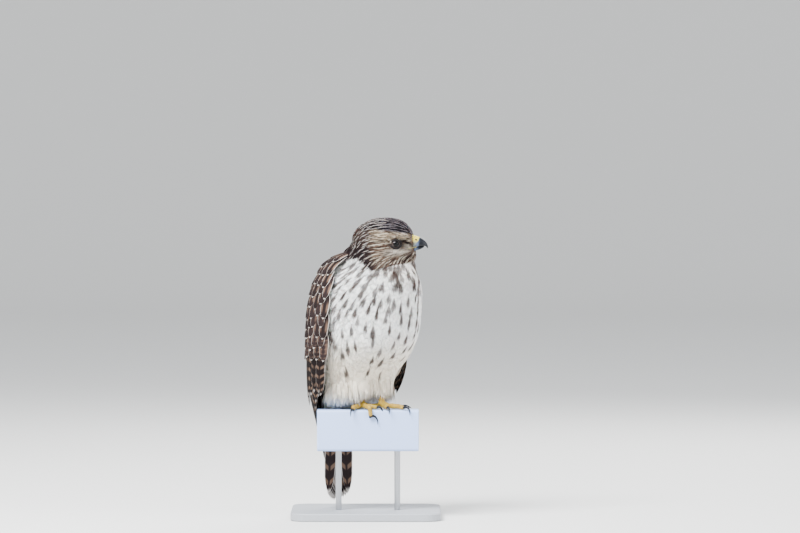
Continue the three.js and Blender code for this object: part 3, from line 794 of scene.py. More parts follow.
def fan(strips, spread):
    """Template of a feather: closed three-sided strips side by side, each drawn to a point."""
    across, along, height, quads, triangles = [], [], [], [], []
    for s in range(strips):
        seat = (s - (strips - 1) / 2) / ((strips - 1) / 2)
        half = 1.15 / strips
        reach = 1 - spread * seat * seat - 0.05 * ((s * 7) % 3)
        base = s * STRIP_POINTS
        for share, lean, wide in STRIP_STATIONS:
            for edge, rise in ((-1, 0.0), (0, 1.0), (1, 0.0)):
                across.append(seat * lean * (1 - 1 / strips) + edge * half * wide)
                along.append(share * reach)
                height.append(rise)
        across.append(seat * 0.92 * (1 - 1 / strips))
        along.append(reach)
        height.append(0.3)
        for row in range(len(STRIP_STATIONS) - 1):
            a, b = base + 3 * row, base + 3 * row + 3
            for i, j in ((0, 1), (1, 2), (2, 0)):
                quads.append((a + i, a + j, b + j, b + i))
        top = base + STRIP_POINTS - 4
        tip = top + 3
        triangles += [(top, top + 1, tip), (top + 1, top + 2, tip), (top + 2, top, tip)]
        triangles.append((base, base + 2, base + 1))
    return {
        "strips": strips,
        "across": np.array(across),
        "along": np.array(along),
        "height": np.array(height),
        "quads": np.array(quads),
        "triangles": np.array(triangles),
    }


STRIP_DEPTH, STRIP_DEPTH_BY_WIDTH, CUP = 0.00028, 0.04, 0.1  # the depth in metres


def grown_feathers(ground, roots, normals, lie, length, width, lift, template, free=0.0):
    """World points of the template on every root, bent along the surface or hanging free of it.

    Lengths are in metres. Free is the share by which a feather leaves the surface's course.
    """
    free = np.broadcast_to(np.asarray(free, float), len(roots))[:, None]

    def eased(on_skin, hanging):
        return on_skin * (1 - free) + hanging * free

    course = unit(eased(flat_on(normals, lie), lie))
    half_way = (length * 0.5)[:, None]
    middle, middle_normal = ground.settle(roots + course * half_way)
    middle = eased(middle, roots + course * half_way)
    middle_normal = unit(eased(middle_normal, normals))
    end, end_normal = ground.settle(middle + unit(middle - roots) * half_way)
    end = eased(end, middle + course * half_way)
    end_normal = unit(eased(end_normal, normals))
    root_lift, end_lift = lift
    start = roots - normals * root_lift
    middle = middle + middle_normal * (end_lift * 0.72)[:, None]
    end = end + end_normal * end_lift[:, None]
    handle = 2 * middle - (start + end) / 2
    ragged = 1 + np.clip(draw.normal(0, 0.07, (len(roots), template["strips"])), -0.2, 0.12)
    t = (template["along"][None] * np.repeat(ragged, STRIP_POINTS, axis=1))[:, :, None]
    path = (1 - t) ** 2 * start[:, None] + 2 * t * (1 - t) * handle[:, None] + t * t * end[:, None]
    heading = unit(2 * (1 - t) * (handle - start)[:, None] + 2 * t * (end - handle)[:, None])
    facing = unit((1 - t) * normals[:, None] + t * end_normal[:, None])
    across = unit(np.cross(heading, facing))
    up = np.cross(across, heading)
    half = (width / 2)[:, None, None]
    seat = template["across"][None, :, None]
    rise = template["height"][None, :, None] * (STRIP_DEPTH + half * STRIP_DEPTH_BY_WIDTH)
    droop = -(seat**2) * half * CUP
    return path + across * seat * half + up * (rise + droop)


PIECE_TRIANGLES = 190_000
BAKE_PATCH = (0.0015, 0.003)  # what one feather covers of the skin's unwrap


def feather_piece(name, points, template, colours, unwrap, material):
    """One mesh of many feathers, with their colours, own UVs and the patch at each root's unwrap."""
    count, size = points.shape[:2]
    shift = (np.arange(count) * size)[:, None, None]
    quads = (template["quads"][None] + shift).reshape(-1, 4)
    triangles = (template["triangles"][None] + shift).reshape(-1, 3)
    made = from_arrays(name, points.reshape(-1, 3), quads, triangles, material)
    set_colour(made.data, "Plumage", np.clip(colours.reshape(-1, 3), 0, 1))
    own = np.stack([template["across"], template["along"]], axis=1)
    set_uv(made.data, "Feather", np.tile(own, (count, 1)))
    patch = own * np.array(BAKE_PATCH) - np.array([0, BAKE_PATCH[1] / 2])
    set_uv(made.data, "OFBake", (unwrap[:, None] + patch[None]).reshape(-1, 2))
    return made


def feather_pieces(name, points, template, colours, unwrap, material):
    """The same as several pieces, each of fewer than PIECE_TRIANGLES."""
    step = PIECE_TRIANGLES // (2 * len(template["quads"]) + len(template["triangles"]))
    made = []
    for start in range(0, len(points), step):
        part = slice(start, start + step)
        label = f"{name}_{len(made) + 1}"
        made.append(feather_piece(label, points[part], template, colours[part], unwrap[part], material))
    return made


def lie_of(points):
    """The way the coat lies: back over the head, then down, and outward over the upper breast."""
    face, body = local(HEAD, points), local(BIRD, points)
    ahead, up = -face[:, 1], face[:, 2]
    head_back = np.array(HEAD.to_3x3() @ Vector((0, 1, 0))) / MM
    down = np.array([0, 0, -1.0])
    near_head = smoothstep(62, 48, np.linalg.norm(face, axis=1))[:, None]
    backward = 1.1 - 0.7 * smoothstep(-12, -34, up)
    falls = 0.12 + 0.9 * smoothstep(-6, -30, up) + 0.75 * smoothstep(-14, -44, ahead)
    over = unit(head_back[None] * backward[:, None] + down[None] * falls[:, None])
    turn = turn_of(body)
    turned = np.degrees(np.abs(turn))
    away = np.stack([np.cos(turn), np.sin(turn), 0 * turn], axis=1) * np.sign(turn)[:, None]
    away = away @ (np.array(BIRD.to_3x3()).T / MM)
    outward = 0.95 * smoothstep(12, 62, turned) * smoothstep(108, 196, body[:, 2])
    outward = outward * smoothstep(125, 95, turned)
    along_body = unit(down[None] + away * outward[:, None])
    lie = unit(over * near_head + along_body * (1 - near_head))
    bristles = np.exp(-(((ahead - 39) / 3.6) ** 2) - (up / 3.6) ** 2)[:, None]
    forward = unit(-head_back[None] - 0.35 * down[None])
    return unit(lie * (1 - bristles) + forward * bristles * 1.2)


def near_eye_or_bill(points):
    """How near a point is to an eye's rim or to the bill, in millimetres."""
    face = local(HEAD, points)
    side, back, up = np.abs(face[:, 0]), face[:, 1], face[:, 2]
    eye = np.sqrt((side - 30) ** 2 + (back + 19) ** 2 + (up - EYE_UP) ** 2) - 8.2
    bill = np.sqrt((side / 0.8) ** 2 + np.minimum(back + 42, 0) ** 2 + ((up - 3) / 1.25) ** 2) - 8.5
    return np.minimum(eye, np.where(back < -34, bill, 50))


HEAD_GAP, BODY_GAP, LOW_GAP, HIDDEN_GAP = 1.78, 3.5, 3.0, 13.0


def head_spacing(points):
    distance = np.linalg.norm(local(HEAD, points), axis=1)
    inside = (regions(points)["hood"] > 0.35) & (near_eye_or_bill(points) > 0.2)
    return gap_where(inside, HEAD_GAP + 0.9 * smoothstep(34, 60, distance))


def body_spacing(points):
    r = regions(points)
    up = r["up"]
    hidden = (r["turn"] > back_edge(114, up)) & (up > 34) & (up < 212)
    return gap_where(r["hood"] < 0.65, np.where(hidden, HIDDEN_GAP, np.where(up < 60, LOW_GAP, BODY_GAP)))


def streaky_with_root_shade(colours, template, amount, root, rise):
    """Small differences between feathers and between a feather's strips, and painted shade that darkens each
    feather towards its root, under the feathers that lie over it, so that it lightens towards the tip.
    """
    count, strips = len(colours), template["strips"]
    shade = 1 + draw.normal(0, amount, (count, strips))
    shade = shade * (1 + draw.normal(0, amount * 0.3, (count, 1)))
    colours = colours * np.repeat(shade, STRIP_POINTS, axis=1)[:, :, None]
    return colours * (root + rise * template["along"])[None, :, None]


def head_feathers(ground, marks, material):
    roots, normals, unwrap = ground.scatter(head_spacing)
    distance = np.linalg.norm(local(HEAD, roots), axis=1)
    size = 0.32 + 0.68 * smoothstep(0, 15, near_eye_or_bill(roots))
    size *= 0.85 + 0.7 * smoothstep(36, 60, distance)
    size *= draw.uniform(0.85, 1.2, len(roots))
    length, width = 10.5 * size * MM, 2.9 * size * MM
    r = regions(roots)
    crest = smoothstep(-24, -40, r["ff"]) * smoothstep(0, 24, r["fz"])
    lift = 0.35 + 0.9 * size + 3.4 * crest + 1.3 * brow(r, 11, 13, 3.2)
    lift = lift * MM * draw.uniform(0.7, 1.25, len(roots))
    length *= 1 + 0.45 * crest
    lie = unit(lie_of(roots) + draw.normal(0, 0.05, roots.shape))
    template = fan(3, 0.10)
    points = grown_feathers(ground, roots, normals, lie, length, width, (0.5 * MM, lift), template)
    r = regions(points.reshape(-1, 3))
    colours = mixed(body_colours(r), head_colours(r), smoothstep(0.35, 0.65, r["hood"]))
    colours = marks.paint(points, colours.reshape(points.shape), 8)
    colours = streaky_with_root_shade(colours, template, 0.09, 0.8, 0.22)
    return feather_pieces("head_feathers", points, template, colours, unwrap, material)


def from_nearest_foot(points):
    """How far world points are from the nearer foot's hub, seen from above."""
    hubs = [np.array([FEET.x, FEET.y]) + by_rail(*foot["hub"], 0)[:2] * MM for foot in FOOT.values()]
    return np.min([np.linalg.norm(points[:, :2] - hub, axis=1) for hub in hubs], axis=0) / MM


def body_feathers(ground, marks, material):
    """Breast, flank, belly, leg and vent feathers."""
    roots, normals, unwrap = ground.scatter(body_spacing)
    r = regions(roots)
    up, turn, count = r["up"], r["turn"], len(roots)
    low = smoothstep(84, 30, up)
    size = draw.uniform(0.85, 1.15, count)
    flank = smoothstep(78, 97, turn) * smoothstep(116, 104, turn) * smoothstep(44, 80, up)
    length = (23 + 6 * low + 5 * flank) * size * MM
    skirt = smoothstep(64, 50, up) * smoothstep(6, 16, up)
    length = np.maximum(length, skirt * (up - 3) * draw.uniform(0.9, 1.03, count) * MM)
    by_feet = smoothstep(24, 15, from_nearest_foot(roots))
    room = np.maximum((up - 1.5 - 13 * by_feet + draw.normal(0, 1.3, count)) * MM, 4 * MM)
    length = np.where(turn < 140, np.minimum(length, room), length)
    width = (7.4 - 1.2 * low) * size * MM
    lift = (0.75 + 1.4 * low + 5.5 * flank) * MM * draw.uniform(0.6, 1.35, count)
    loose = 0.035 + 0.07 * low
    lie = unit(lie_of(roots) + draw.normal(0, 1, roots.shape) * loose[:, None])
    template = fan(7, 0.2)
    free = 0.9 * smoothstep(76, 46, up)
    points = grown_feathers(ground, roots, normals, lie, length, width, (1.2 * MM, lift), template, free)
    colours = body_colours(regions(points.reshape(-1, 3))).reshape(points.shape)
    colours = marks.paint(points, colours, 15)
    colours = streaky_with_root_shade(colours, template, 0.035, 0.92, 0.08)
    return feather_pieces("body_feathers", points, template, colours, unwrap, material)


def paint_skin(skin, marks):
    points, _ = vertex_arrays(skin.data)
    r = regions(points)
    colours = mixed(body_colours(r), head_colours(r), r["hood"])
    colours = marks.paint(points[:, None], colours[:, None], 2)[:, 0]
    # The skin takes the coat's colours a little darker, as painted shade beneath the feathers.
    set_colour(skin.data, "Plumage", colours * 0.95)


# Wings and tail

# The folded wing's outline at heights z: half its width, how far it reaches back, and its middle
FOLD = {
    "z": [-100, -80, -50, -20, 6, 31, 61, 84, 118, 157, 185, 200, 217, 229, 239],
    "half": [22, 28, 40, 58, 73, 80, 85, 86, 86, 84, 79, 73, 64, 50, 32],
    "reach": [20, 26, 42, 62, 76, 82, 85, 85, 84, 80, 73, 68, 60, 46, 28],
    "mid": [-74, -68, -52, -32, -18, -12, -8, -8, -8, -8, -8, -8, -8, -8, -6],
}
FOLD_SQUARE = 3


def hermite(first, second, first_slope, second_slope, t, step=1):
    rise = t * t * (3 - 2 * t)
    bend = step * (t * (1 - t) ** 2 * first_slope - t * t * (1 - t) * second_slope)
    return first * (1 - rise) + second * rise + bend


def keyed(column, z):
    """A column of the fold's table at heights z, on a smooth curve through its keys."""
    keys, values = np.array(FOLD["z"], float), np.array(FOLD[column], float)
    slopes = np.gradient(values, keys)
    slopes[1:-1] = (values[2:] - values[:-2]) / (keys[2:] - keys[:-2])
    z = np.clip(z, keys[0], keys[-1])
    i = np.clip(np.searchsorted(keys, z) - 1, 0, len(keys) - 2)
    step = keys[i + 1] - keys[i]
    return hermite(values[i], values[i + 1], slopes[i], slopes[i + 1], (z - keys[i]) / step, step)


def on_fold(side, z, angle, lift):
    """Points of the folded wing's surface at heights and angles in degrees, lifted out from it."""

    def at(height, turn):
        s, c = np.sin(np.radians(turn)), np.cos(np.radians(turn))
        n = FOLD_SQUARE
        reach = (np.abs(s / keyed("half", height)) ** n + np.abs(c / keyed("reach", height)) ** n) ** (-1 / n)
        return np.stack([side * reach * s, -keyed("mid", height) - reach * c, height], axis=-1)

    z, angle = np.broadcast_arrays(np.asarray(z, float), np.asarray(angle, float))
    rise = at(z + 2, angle) - at(z - 2, angle)
    round_ = at(z, angle + 2) - at(z, angle - 2)
    out = unit(np.cross(round_, rise) * side)
    return at(z, angle) + out * np.asarray(lift)[..., None]


ACROSS = np.linspace(-1, 1, 9)
ALONG = np.array([0, 0.08, 0.18, 0.3, 0.42, 0.54, 0.65, 0.75, 0.84, 0.91, 0.96, 0.985, 1.0])


def vane_outline(pointed):
    """Half width along a vane as a share of its widest, rounded or more pointed at the tip."""
    t = ALONG
    root = 0.35 + 0.65 * smoothstep(0, 0.3, t)
    tip = np.sqrt(np.clip(1 - ((t - 0.55) / 0.45).clip(0) ** (2.0 + 1.4 * (1 - pointed)), 0, 1))
    return root * np.maximum(tip, 0.02)


def vane_faces():
    """Quads of a closed lens: an outer and an inner sheet that share their rim."""
    rows, columns = len(ALONG), len(ACROSS)
    outer = np.arange(rows * columns).reshape(rows, columns)
    inner = outer + rows * columns
    quads = []
    for r in range(rows - 1):
        for c in range(columns - 1):
            quads.append((outer[r, c], outer[r, c + 1], outer[r + 1, c + 1], outer[r + 1, c]))
            quads.append((inner[r, c], inner[r + 1, c], inner[r + 1, c + 1], inner[r, c + 1]))
        quads.append((outer[r, 0], outer[r + 1, 0], inner[r + 1, 0], inner[r, 0]))
        quads.append((outer[r, -1], inner[r, -1], inner[r + 1, -1], outer[r + 1, -1]))
    for c in range(columns - 1):
        quads.append((outer[0, c], inner[0, c], inner[0, c + 1], outer[0, c + 1]))
        quads.append((outer[-1, c], outer[-1, c + 1], inner[-1, c + 1], inner[-1, c]))
    return np.array(quads)


VANE_QUADS = vane_faces()


class Vanes:
    """Gathers wing or tail feathers, then makes one mesh of them."""

    def __init__(self, name):
        self.name = name
        self.points, self.own, self.plumage, self.traits = [], [], [], []

    def add(self, place, width, colour, traits, pointed=0.0, thick=0.45):
        """place(along, across in mm, out in mm) gives bird-frame points for whole arrays."""
        half = vane_outline(pointed) * width / 2
        ragged = 1 + draw.normal(0, 0.018, (len(ALONG), len(ACROSS)))
        across = half[:, None] * ACROSS[None] * np.where(np.abs(ACROSS) > 0.9, ragged, 1)
        along = np.repeat(ALONG[:, None], len(ACROSS), axis=1)
        along = along - 0.035 * (ACROSS[None] ** 2) * (ALONG[:, None] > 0.5)
        camber = 0.05 * width * (1 - ACROSS[None] ** 2) * np.ones_like(along)
        depth = thick * (1 - 0.85 * ACROSS[None] ** 2) * (1 - 0.6 * along)
        outer, inner = place(along, across, camber + depth), place(along, across, camber)
        self.points.append(np.concatenate([outer.reshape(-1, 3), inner.reshape(-1, 3)]))
        own = np.stack([np.repeat(ACROSS[None], len(ALONG), axis=0), along], axis=-1).reshape(-1, 2)
        self.own.append(np.concatenate([own, own]))
        count = len(own) * 2
        self.plumage.append(np.repeat(np.asarray(colour)[None], count, axis=0))
        self.traits.append(np.repeat(np.asarray(traits, float)[None], count, axis=0))

    def finish(self, material):
        count, size = len(self.points), len(self.points[0])
        quads = (VANE_QUADS[None] + (np.arange(count) * size)[:, None, None]).reshape(-1, 4)
        world = placed(BIRD, np.concatenate(self.points))
        made = from_arrays(self.name, world, quads, np.empty((0, 3), int), material)
        set_colour(made.data, "Plumage", np.concatenate(self.plumage))
        set_colour(made.data, "Traits", np.concatenate(self.traits))
        own = np.concatenate(self.own)
        set_uv(made.data, "Feather", own)
        cells = math.ceil(math.sqrt(count))
        cell = np.repeat(np.arange(count), size)
        corner = np.stack([cell % cells, cell // cells], axis=1)
        inside = np.stack([own[:, 0] * 0.44 + 0.5, own[:, 1] * 0.92 + 0.04], axis=1)
        set_uv(made.data, "OFBake", (corner + inside) / cells)
        return made


# Root and tip of a tier: height and angle of its first feather and of its last, from front to back
TIER_PARTS = "count root tip dip width lift colour traits pointed shift"
Tier = collections.namedtuple("Tier", TIER_PARTS, defaults=(0,))
VANE_SINK, VANE_RISE, VANE_ROLL = -6, 0.55, 1.5
CORE_HEIGHTS = (235, 227, 214, 192, 160, 130, 100, 72, 52)
CORE_SIDES, CORE_INNER, CORE_OUTER, CORE_OUTER_HIGH = 14, -11.0, -4.6, -5.4
TAIL_TOP, TAIL_BACK, TAIL_DEEP, TAIL_DROP = 22, 84, 9, 142
TAIL_COVERTS = ((20, -36), (22, -20), (24, -4))  # top and end of each row


def long_tiers():
    """Primaries and secondaries."""
    black, dark = BLACKISH, DARK * 0.4
    return [
        Tier(9, ((66, 109), (72, 157)), ((-50, 134), (-58, 168)), 36, 15, -3.2, black, (0.5, 0.5, 0.0), 0.8),
        Tier(11, ((118, 97), (124, 172)), ((28, 105), (-2, 173)), 6, 20, -1.6, dark, (0.45, 0.6, 0.0), 0.5),
        Tier(4, ((96, 96), (92, 108)), ((24, 101), (4, 115)), 0, 14, -1.4, dark, (0.35, 0.65, 0.0), 0.6),
    ]


def covert_tiers():
    """Rows of coverts from the lowest up, alternate rows set half a feather along, then scapulars."""
    tiers = []
    for k in reversed(range(-1, 9)):
        top, long, shift = 232 - 14.2 * k, 30 + 1.9 * k, 0.5 * (k % 2)
        front = 93 + 4 * float(smoothstep(214, 234, top))
        root, tip = ((top, front), (top + 1, 148)), ((top - long, front + 1), (top + 2 - long, 150))
        traits = (1.0, 0.25 * (k > 6), 0.6 - 0.03 * k)
        tiers.append(Tier(7, root, tip, 2, 14.6 + 0.5 * k, -0.1 - 0.05 * k, DARK, traits, 0.45, shift))
    for k in reversed(range(-1, 6)):
        top, long, shift = 230 - 14 * k, 34 + 3 * k, 0.5 * (k % 2)
        root, tip = ((top, 145), (top, 172)), ((top - long, 145), (top + 1 - long, 174))
        traits = (0.8, 0.2 * (k > 3), 0.35)
        tiers.append(Tier(5, root, tip, 3, 16 + 0.8 * k, 0.6 - 0.06 * k, DARK * 0.95, traits, 0.1, shift))
    return tiers


def wing_vane(vanes, side, root, tip, tier):
    def place(along, across, out):
        z = root[0] + (tip[0] - root[0]) * along
        angle = root[1] + (tip[1] - root[1]) * along
        step = on_fold(side, z, angle + 1, 0) - on_fold(side, z, angle - 1, 0)
        per_degree = np.linalg.norm(step, axis=-1) / 2
        rise = VANE_SINK * (1 - np.maximum(along, 0) ** VANE_RISE)
        tilt = VANE_ROLL * across / tier.width
        return on_fold(side, z, angle + across / per_degree, tier.lift + rise + tilt + out)

    colour = tier.colour * draw.uniform(0.62, 1.1)
    traits = np.clip(np.array(tier.traits) * draw.uniform(0.45, 1.15, 3), 0, 1)
    vanes.add(place, tier.width * draw.uniform(0.92, 1.1), colour, traits, tier.pointed)


def make_wing(side, name, material):
    vanes = Vanes(name)
    for tier in long_tiers() + covert_tiers():
        roots, tips = np.array(tier.root, float), np.array(tier.tip, float)
        for k in range(tier.count):
            share = min((k + tier.shift) / (tier.count - 1), 1.03)
            root = roots[0] + (roots[1] - roots[0]) * share + draw.normal(0, 1, 2) * (2.2, 0.8)
            tip = tips[0] + (tips[1] - tips[0]) * share + draw.normal(0, 1, 2) * (2.6, 1.1)
            tip[0] -= tier.dip * math.sin(math.pi * min(share, 1))
            wing_vane(vanes, side, root, tip, tier)
    return vanes.finish(material)


def wing_core(side, name, material):
    """The wing's body under its feathers: a slab that follows the fold."""
    built = bmesh.new()
    rings = []
    for z in CORE_HEIGHTS:
        low = np.clip((118 - z) / 66, 0, 1)
        high = float(smoothstep(196, 214, z))
        angles = np.linspace(94 + 20 * low + 14 * high, 177 - 9 * low, CORE_SIDES)
        outer = on_fold(side, z, angles, CORE_OUTER_HIGH if z > 220 else CORE_OUTER)
        inner = on_fold(side, z, angles[::-1], CORE_INNER)
        ring = [built.verts.new(point) for point in placed(BIRD, np.concatenate([outer, inner]))]
        rings.append([built.edges.new(pair) for pair in zip(ring, ring[1:] + ring[:1])])
    for first, second in zip(rings, rings[1:]):
        bmesh.ops.bridge_loops(built, edges=first + second)
    bmesh.ops.holes_fill(built, edges=[edge for edge in built.edges if edge.is_boundary])
    bmesh.ops.recalc_face_normals(built, faces=built.faces)
    made = from_bmesh(name, built, material)
    set_colour(made.data, "Plumage", np.repeat(DARK[None] * 0.8, len(made.data.vertices), axis=0))
    return made


def make_tail(material):
    """Twelve tail feathers, the middle pair outermost at the back, under short coverts."""
    vanes = Vanes("tail_feathers")

    def hang(x, tip_x, top, bottom, depth, width, colour, traits, facing=1):
        def place(along, across, out):
            across_x = x + (tip_x - x) * along + across
            return np.stack([across_x, depth + facing * out, top + (bottom - top) * along], axis=-1)

        vanes.add(place, width, colour, traits, 0.3, 0.5)

    for pair in range(6):
        for side in (-1, 1):
            x = side * 3.5 * (pair + 0.5)
            shorter = 13 * pair * pair / 36
            depth = TAIL_BACK - 1.4 - 1.2 * (pair + (0.5 if side > 0 else 0))
            hang(x * 0.5, x, TAIL_TOP, shorter - TAIL_DROP, depth, 24, DARK * 0.9, (0.75, 0.7, 0.0))
    for row, (top, end) in enumerate(TAIL_COVERTS):
        for k in range(6):
            x = (k - 2.5) * 8
            drop = 5 * abs(k - 2.5) / 2.5
            behind = TAIL_BACK - 0.4 + 0.9 * row + 0.4 * (k % 2)
            hang(x * 0.8, x, top, end + drop, behind, 17, DARK, (0.6, 0.2, 0.2))
            front = TAIL_BACK - TAIL_DEEP - 0.6 - 1.0 * row - 0.4 * (k % 2)
            hang(x * 0.8, x, top, end + 6 + drop, front, 17, CREAM, (0.0, 0.0, 0.0), -1)
    return vanes.finish(material)


# Head: eyes, lids, cere and bill


def eye_frame(side):
    look = Vector((math.sin(EYE_LOOK) * side, -math.cos(EYE_LOOK), -0.02)).normalized()
    turn = look.to_track_quat("Z", "Y").to_matrix().to_4x4()
    return HEAD @ Matrix.Translation((side * EYE_SIDE, -EYE_FORWARD, EYE_UP)) @ turn


def make_eye(side, name, material):
    """An eyeball with a slightly bulging cornea towards its look."""
    built = bmesh.new()
    bmesh.ops.create_uvsphere(built, u_segments=40, v_segments=28, radius=EYE_RADIUS - 0.15)
    ring = []
    for vert in built.verts:
        share = vert.co.z / EYE_RADIUS
        out = math.hypot(vert.co.x, vert.co.y) / EYE_RADIUS
        if share > 0:
            vert.co.z += 0.9 * max(0.0, 1 - (out / 0.62) ** 2)
            ring.append(out)
        else:
            ring.append(1.0)
    made = from_bmesh(name, built, material, eye_frame(side))
    set_value(made.data, "Ring", ring)
    return made


def make_lids(side, name, material):
    """Upper and lower lids: a rolled rim round the eye, drawn out towards the corners."""
    built = bmesh.new()
    segments, sides = 48, 10
    rings = []
    for i in range(segments):
        a = 2 * math.pi * i / segments
        out_x, out_y = 7.2 * math.cos(a), 6.2 * math.sin(a)
        out_x += 0.9 * math.copysign(abs(math.cos(a)) ** 5, math.cos(a))
        if math.sin(a) > 0:
            out_y *= 0.9
        seat = math.sqrt(max((EYE_RADIUS + 0.6) ** 2 - out_x**2 - out_y**2, 4.0))
        outward = Vector((math.cos(a), math.sin(a), 0.0))
        ring = []
        for k in range(sides):
            b = 2 * math.pi * k / sides
            roll = outward * (1.15 * math.cos(b) + 0.6) + Vector((0, 0, 0.75 * math.sin(b)))
            ring.append(built.verts.new(Vector((out_x, out_y, seat)) + roll))
        rings.append(ring)
    for i in range(segments):
        ring, after = rings[i], rings[(i + 1) % segments]
        for k in range(sides):
            built.faces.new((ring[k], after[k], after[(k + 1) % sides], ring[(k + 1) % sides]))
    bmesh.ops.recalc_face_normals(built, faces=built.faces)
    return from_bmesh(name, built, material, eye_frame(side))


# Stations of the bill's edges: ahead of and above the head's centre, then half widths
CULMEN = ((33, 17.5), (41.5, 15.2), (50.7, 12.2), (58, 7.6), (62.4, 1.6), (63.4, -4.2))
TOMIUM = ((33, -3), (41.5, -2.2), (50, -1.4), (56.5, -0.6), (60.2, -1.6), (63, -4.6))
CHIN = ((33, -8.6), (40, -8.4), (47, -7.2), (52, -5.6), (55, -4.2), (57.4, -2.6))
BILL_HALF = (8, 7.6, 6.4, 4.4, 2.4, 0.5)
CHIN_HALF = (7.2, 7, 6, 4.3, 2.7, 1)
BILL_RINGS, BILL_SIDES, BILL_ROUND = 34, 25, 0.85
CHIN_RINGS, CHIN_SIDES = 24, 17
CERE_END, CERE_SWELL, CERE_SLANT = 50.4, 0.25, 2.6
GAPE = ((6.5, -47, -2.2), (12, -42.5, -3.4), (17.5, -38, -4.4), (22, -33.5, -5.8))
GAPE_RINGS, GAPE_SIDES, GAPE_DULLNESS = 22, 10, 0.6
NOSTRIL_AT = (6.35, -46.2, 8.6)


def through(points, count):
    """A smooth curve through points of any size, at even shares of their order."""
    keys = np.asarray(points, float).reshape(len(points), -1)
    slopes = np.gradient(keys, axis=0)
    s = np.linspace(0, len(keys) - 1, count)
    i = np.clip(s.astype(int), 0, len(keys) - 2)
    return hermite(keys[i], keys[i + 1], slopes[i], slopes[i + 1], (s - i)[:, None])


def loft(rings, name, material, matrix, attribute=None):
    """A closed skin over rings of points, with an optional value for each ring."""
    built = bmesh.new()
    rows = [[built.verts.new(p) for p in ring] for ring in rings]
    sides = len(rows[0])
    for a, b in zip(rows, rows[1:]):
        for k in range(sides):
            built.faces.new((a[k], a[(k + 1) % sides], b[(k + 1) % sides], b[k]))
    built.faces.new(rows[0])
    built.faces.new(rows[-1])
    bmesh.ops.recalc_face_normals(built, faces=built.faces)
    made = from_bmesh(name, built, material, matrix)
    if attribute:
        label, values = attribute
        set_value(made.data, label, np.repeat(values, sides))
    return made


def ball(name, material, matrix, at, radius, segments, stretch, tilt=0.0):
    """A stretched ball, tilted about X, in a local frame."""
    built = bmesh.new()
    bmesh.ops.create_uvsphere(built, u_segments=segments[0], v_segments=segments[1], radius=radius)
    bmesh.ops.scale(built, vec=stretch, verts=built.verts)
    bmesh.ops.rotate(built, cent=(0, 0, 0), matrix=Matrix.Rotation(tilt, 3, "X"), verts=built.verts)
    bmesh.ops.translate(built, vec=at, verts=built.verts)
    return from_bmesh(name, built, material, matrix)


def bill_rings(upper, lower, half, count, sides, swell=0.0):
    top, low, wide = through(upper, count), through(lower, count), through(half, count)[:, 0]
    angle = np.linspace(0, math.pi, sides)
    lift = np.sin(angle) ** BILL_ROUND
    rings = []
    for i in range(count):
        ahead = low[i, 0] + (top[i, 0] - low[i, 0]) * lift
        up = low[i, 1] + (top[i, 1] - low[i, 1]) * lift + swell * np.sin(angle)
        rings.append(np.stack([(wide[i] + swell) * np.cos(angle), -ahead, up], axis=1))
    return rings


def forward_of(rings):
    return np.array([-ring[:, 1].mean() for ring in rings])


def make_bill(horn, skin):
    rings = bill_rings(CULMEN, TOMIUM, BILL_HALF, BILL_RINGS, BILL_SIDES)
    reach = forward_of(rings)
    blade = [ring for ring, ahead in zip(rings, reach) if ahead >= CERE_END - 7]
    tip = np.clip((forward_of(blade) - CERE_END + 3) / 8, 0, 1)
    upper = loft(blade, "bill_upper", horn, HEAD, ("Tip", tip))
    swollen = bill_rings(CULMEN, TOMIUM, BILL_HALF, BILL_RINGS, BILL_SIDES, CERE_SWELL)
    rings = [ring for ring, ahead in zip(swollen, reach) if ahead < CERE_END]
    slant = CERE_SLANT * (1 - np.sin(np.linspace(0, math.pi, BILL_SIDES)) ** BILL_ROUND)
    for ring in rings:
        ring[:, 1] += slant * smoothstep(38, 50, -ring[:, 1].mean())
    centre = rings[-1].mean(axis=0)
    rings.append((rings[-1] - centre) * 0.93 + centre + np.array([0, -0.5, 0]))
    cere = loft(rings, "cere_skin", skin, HEAD)
    up = local(HEAD, vertex_arrays(cere.data)[0])[:, 2]
    set_value(cere.data, "Under", smoothstep(8.5, 3.0, up))
    chin_top = [(ahead, np.interp(ahead, *zip(*TOMIUM)) + 0.4) for ahead, _ in CHIN]
    chin = bill_rings(chin_top, CHIN, CHIN_HALF, CHIN_RINGS, CHIN_SIDES)
    tip = np.clip((forward_of(chin) - 44) / 12, 0, 1)
    lower = loft(chin, "bill_lower", horn, HEAD, ("Tip", tip))
    return cere, upper, lower


def make_gape(side, name, ground, material):
    """The fleshy corner of the mouth, a thin line that runs back from the bill below the eye."""
    line = through([(side * x, y, z) for x, y, z in GAPE], GAPE_RINGS)
    spots, facing = ground.settle(placed(HEAD, line))
    turn = np.linspace(0, 2 * math.pi, GAPE_SIDES, endpoint=False)[:, None]
    last = GAPE_RINGS - 1
    rings = []
    for i, (spot, out) in enumerate(zip(local(HEAD, spots), facing)):
        size = 0.7 * math.sqrt(max(1 - i / last, 0.02))
        middle = line[i] if i / last < 0.2 else spot
        normal = unit(np.array(HEAD.to_3x3()).T @ out)
        ahead = unit(line[min(i + 1, last)] - line[max(i - 1, 0)])
        level = np.cross(normal, ahead)
        rings.append(middle + normal * 0.2 + (level * np.cos(turn) * 0.75 + normal * np.sin(turn)) * size)
    made = loft(rings, name, material, HEAD)
    set_value(made.data, "Under", [GAPE_DULLNESS] * len(made.data.vertices))
    return made


# Legs and feet

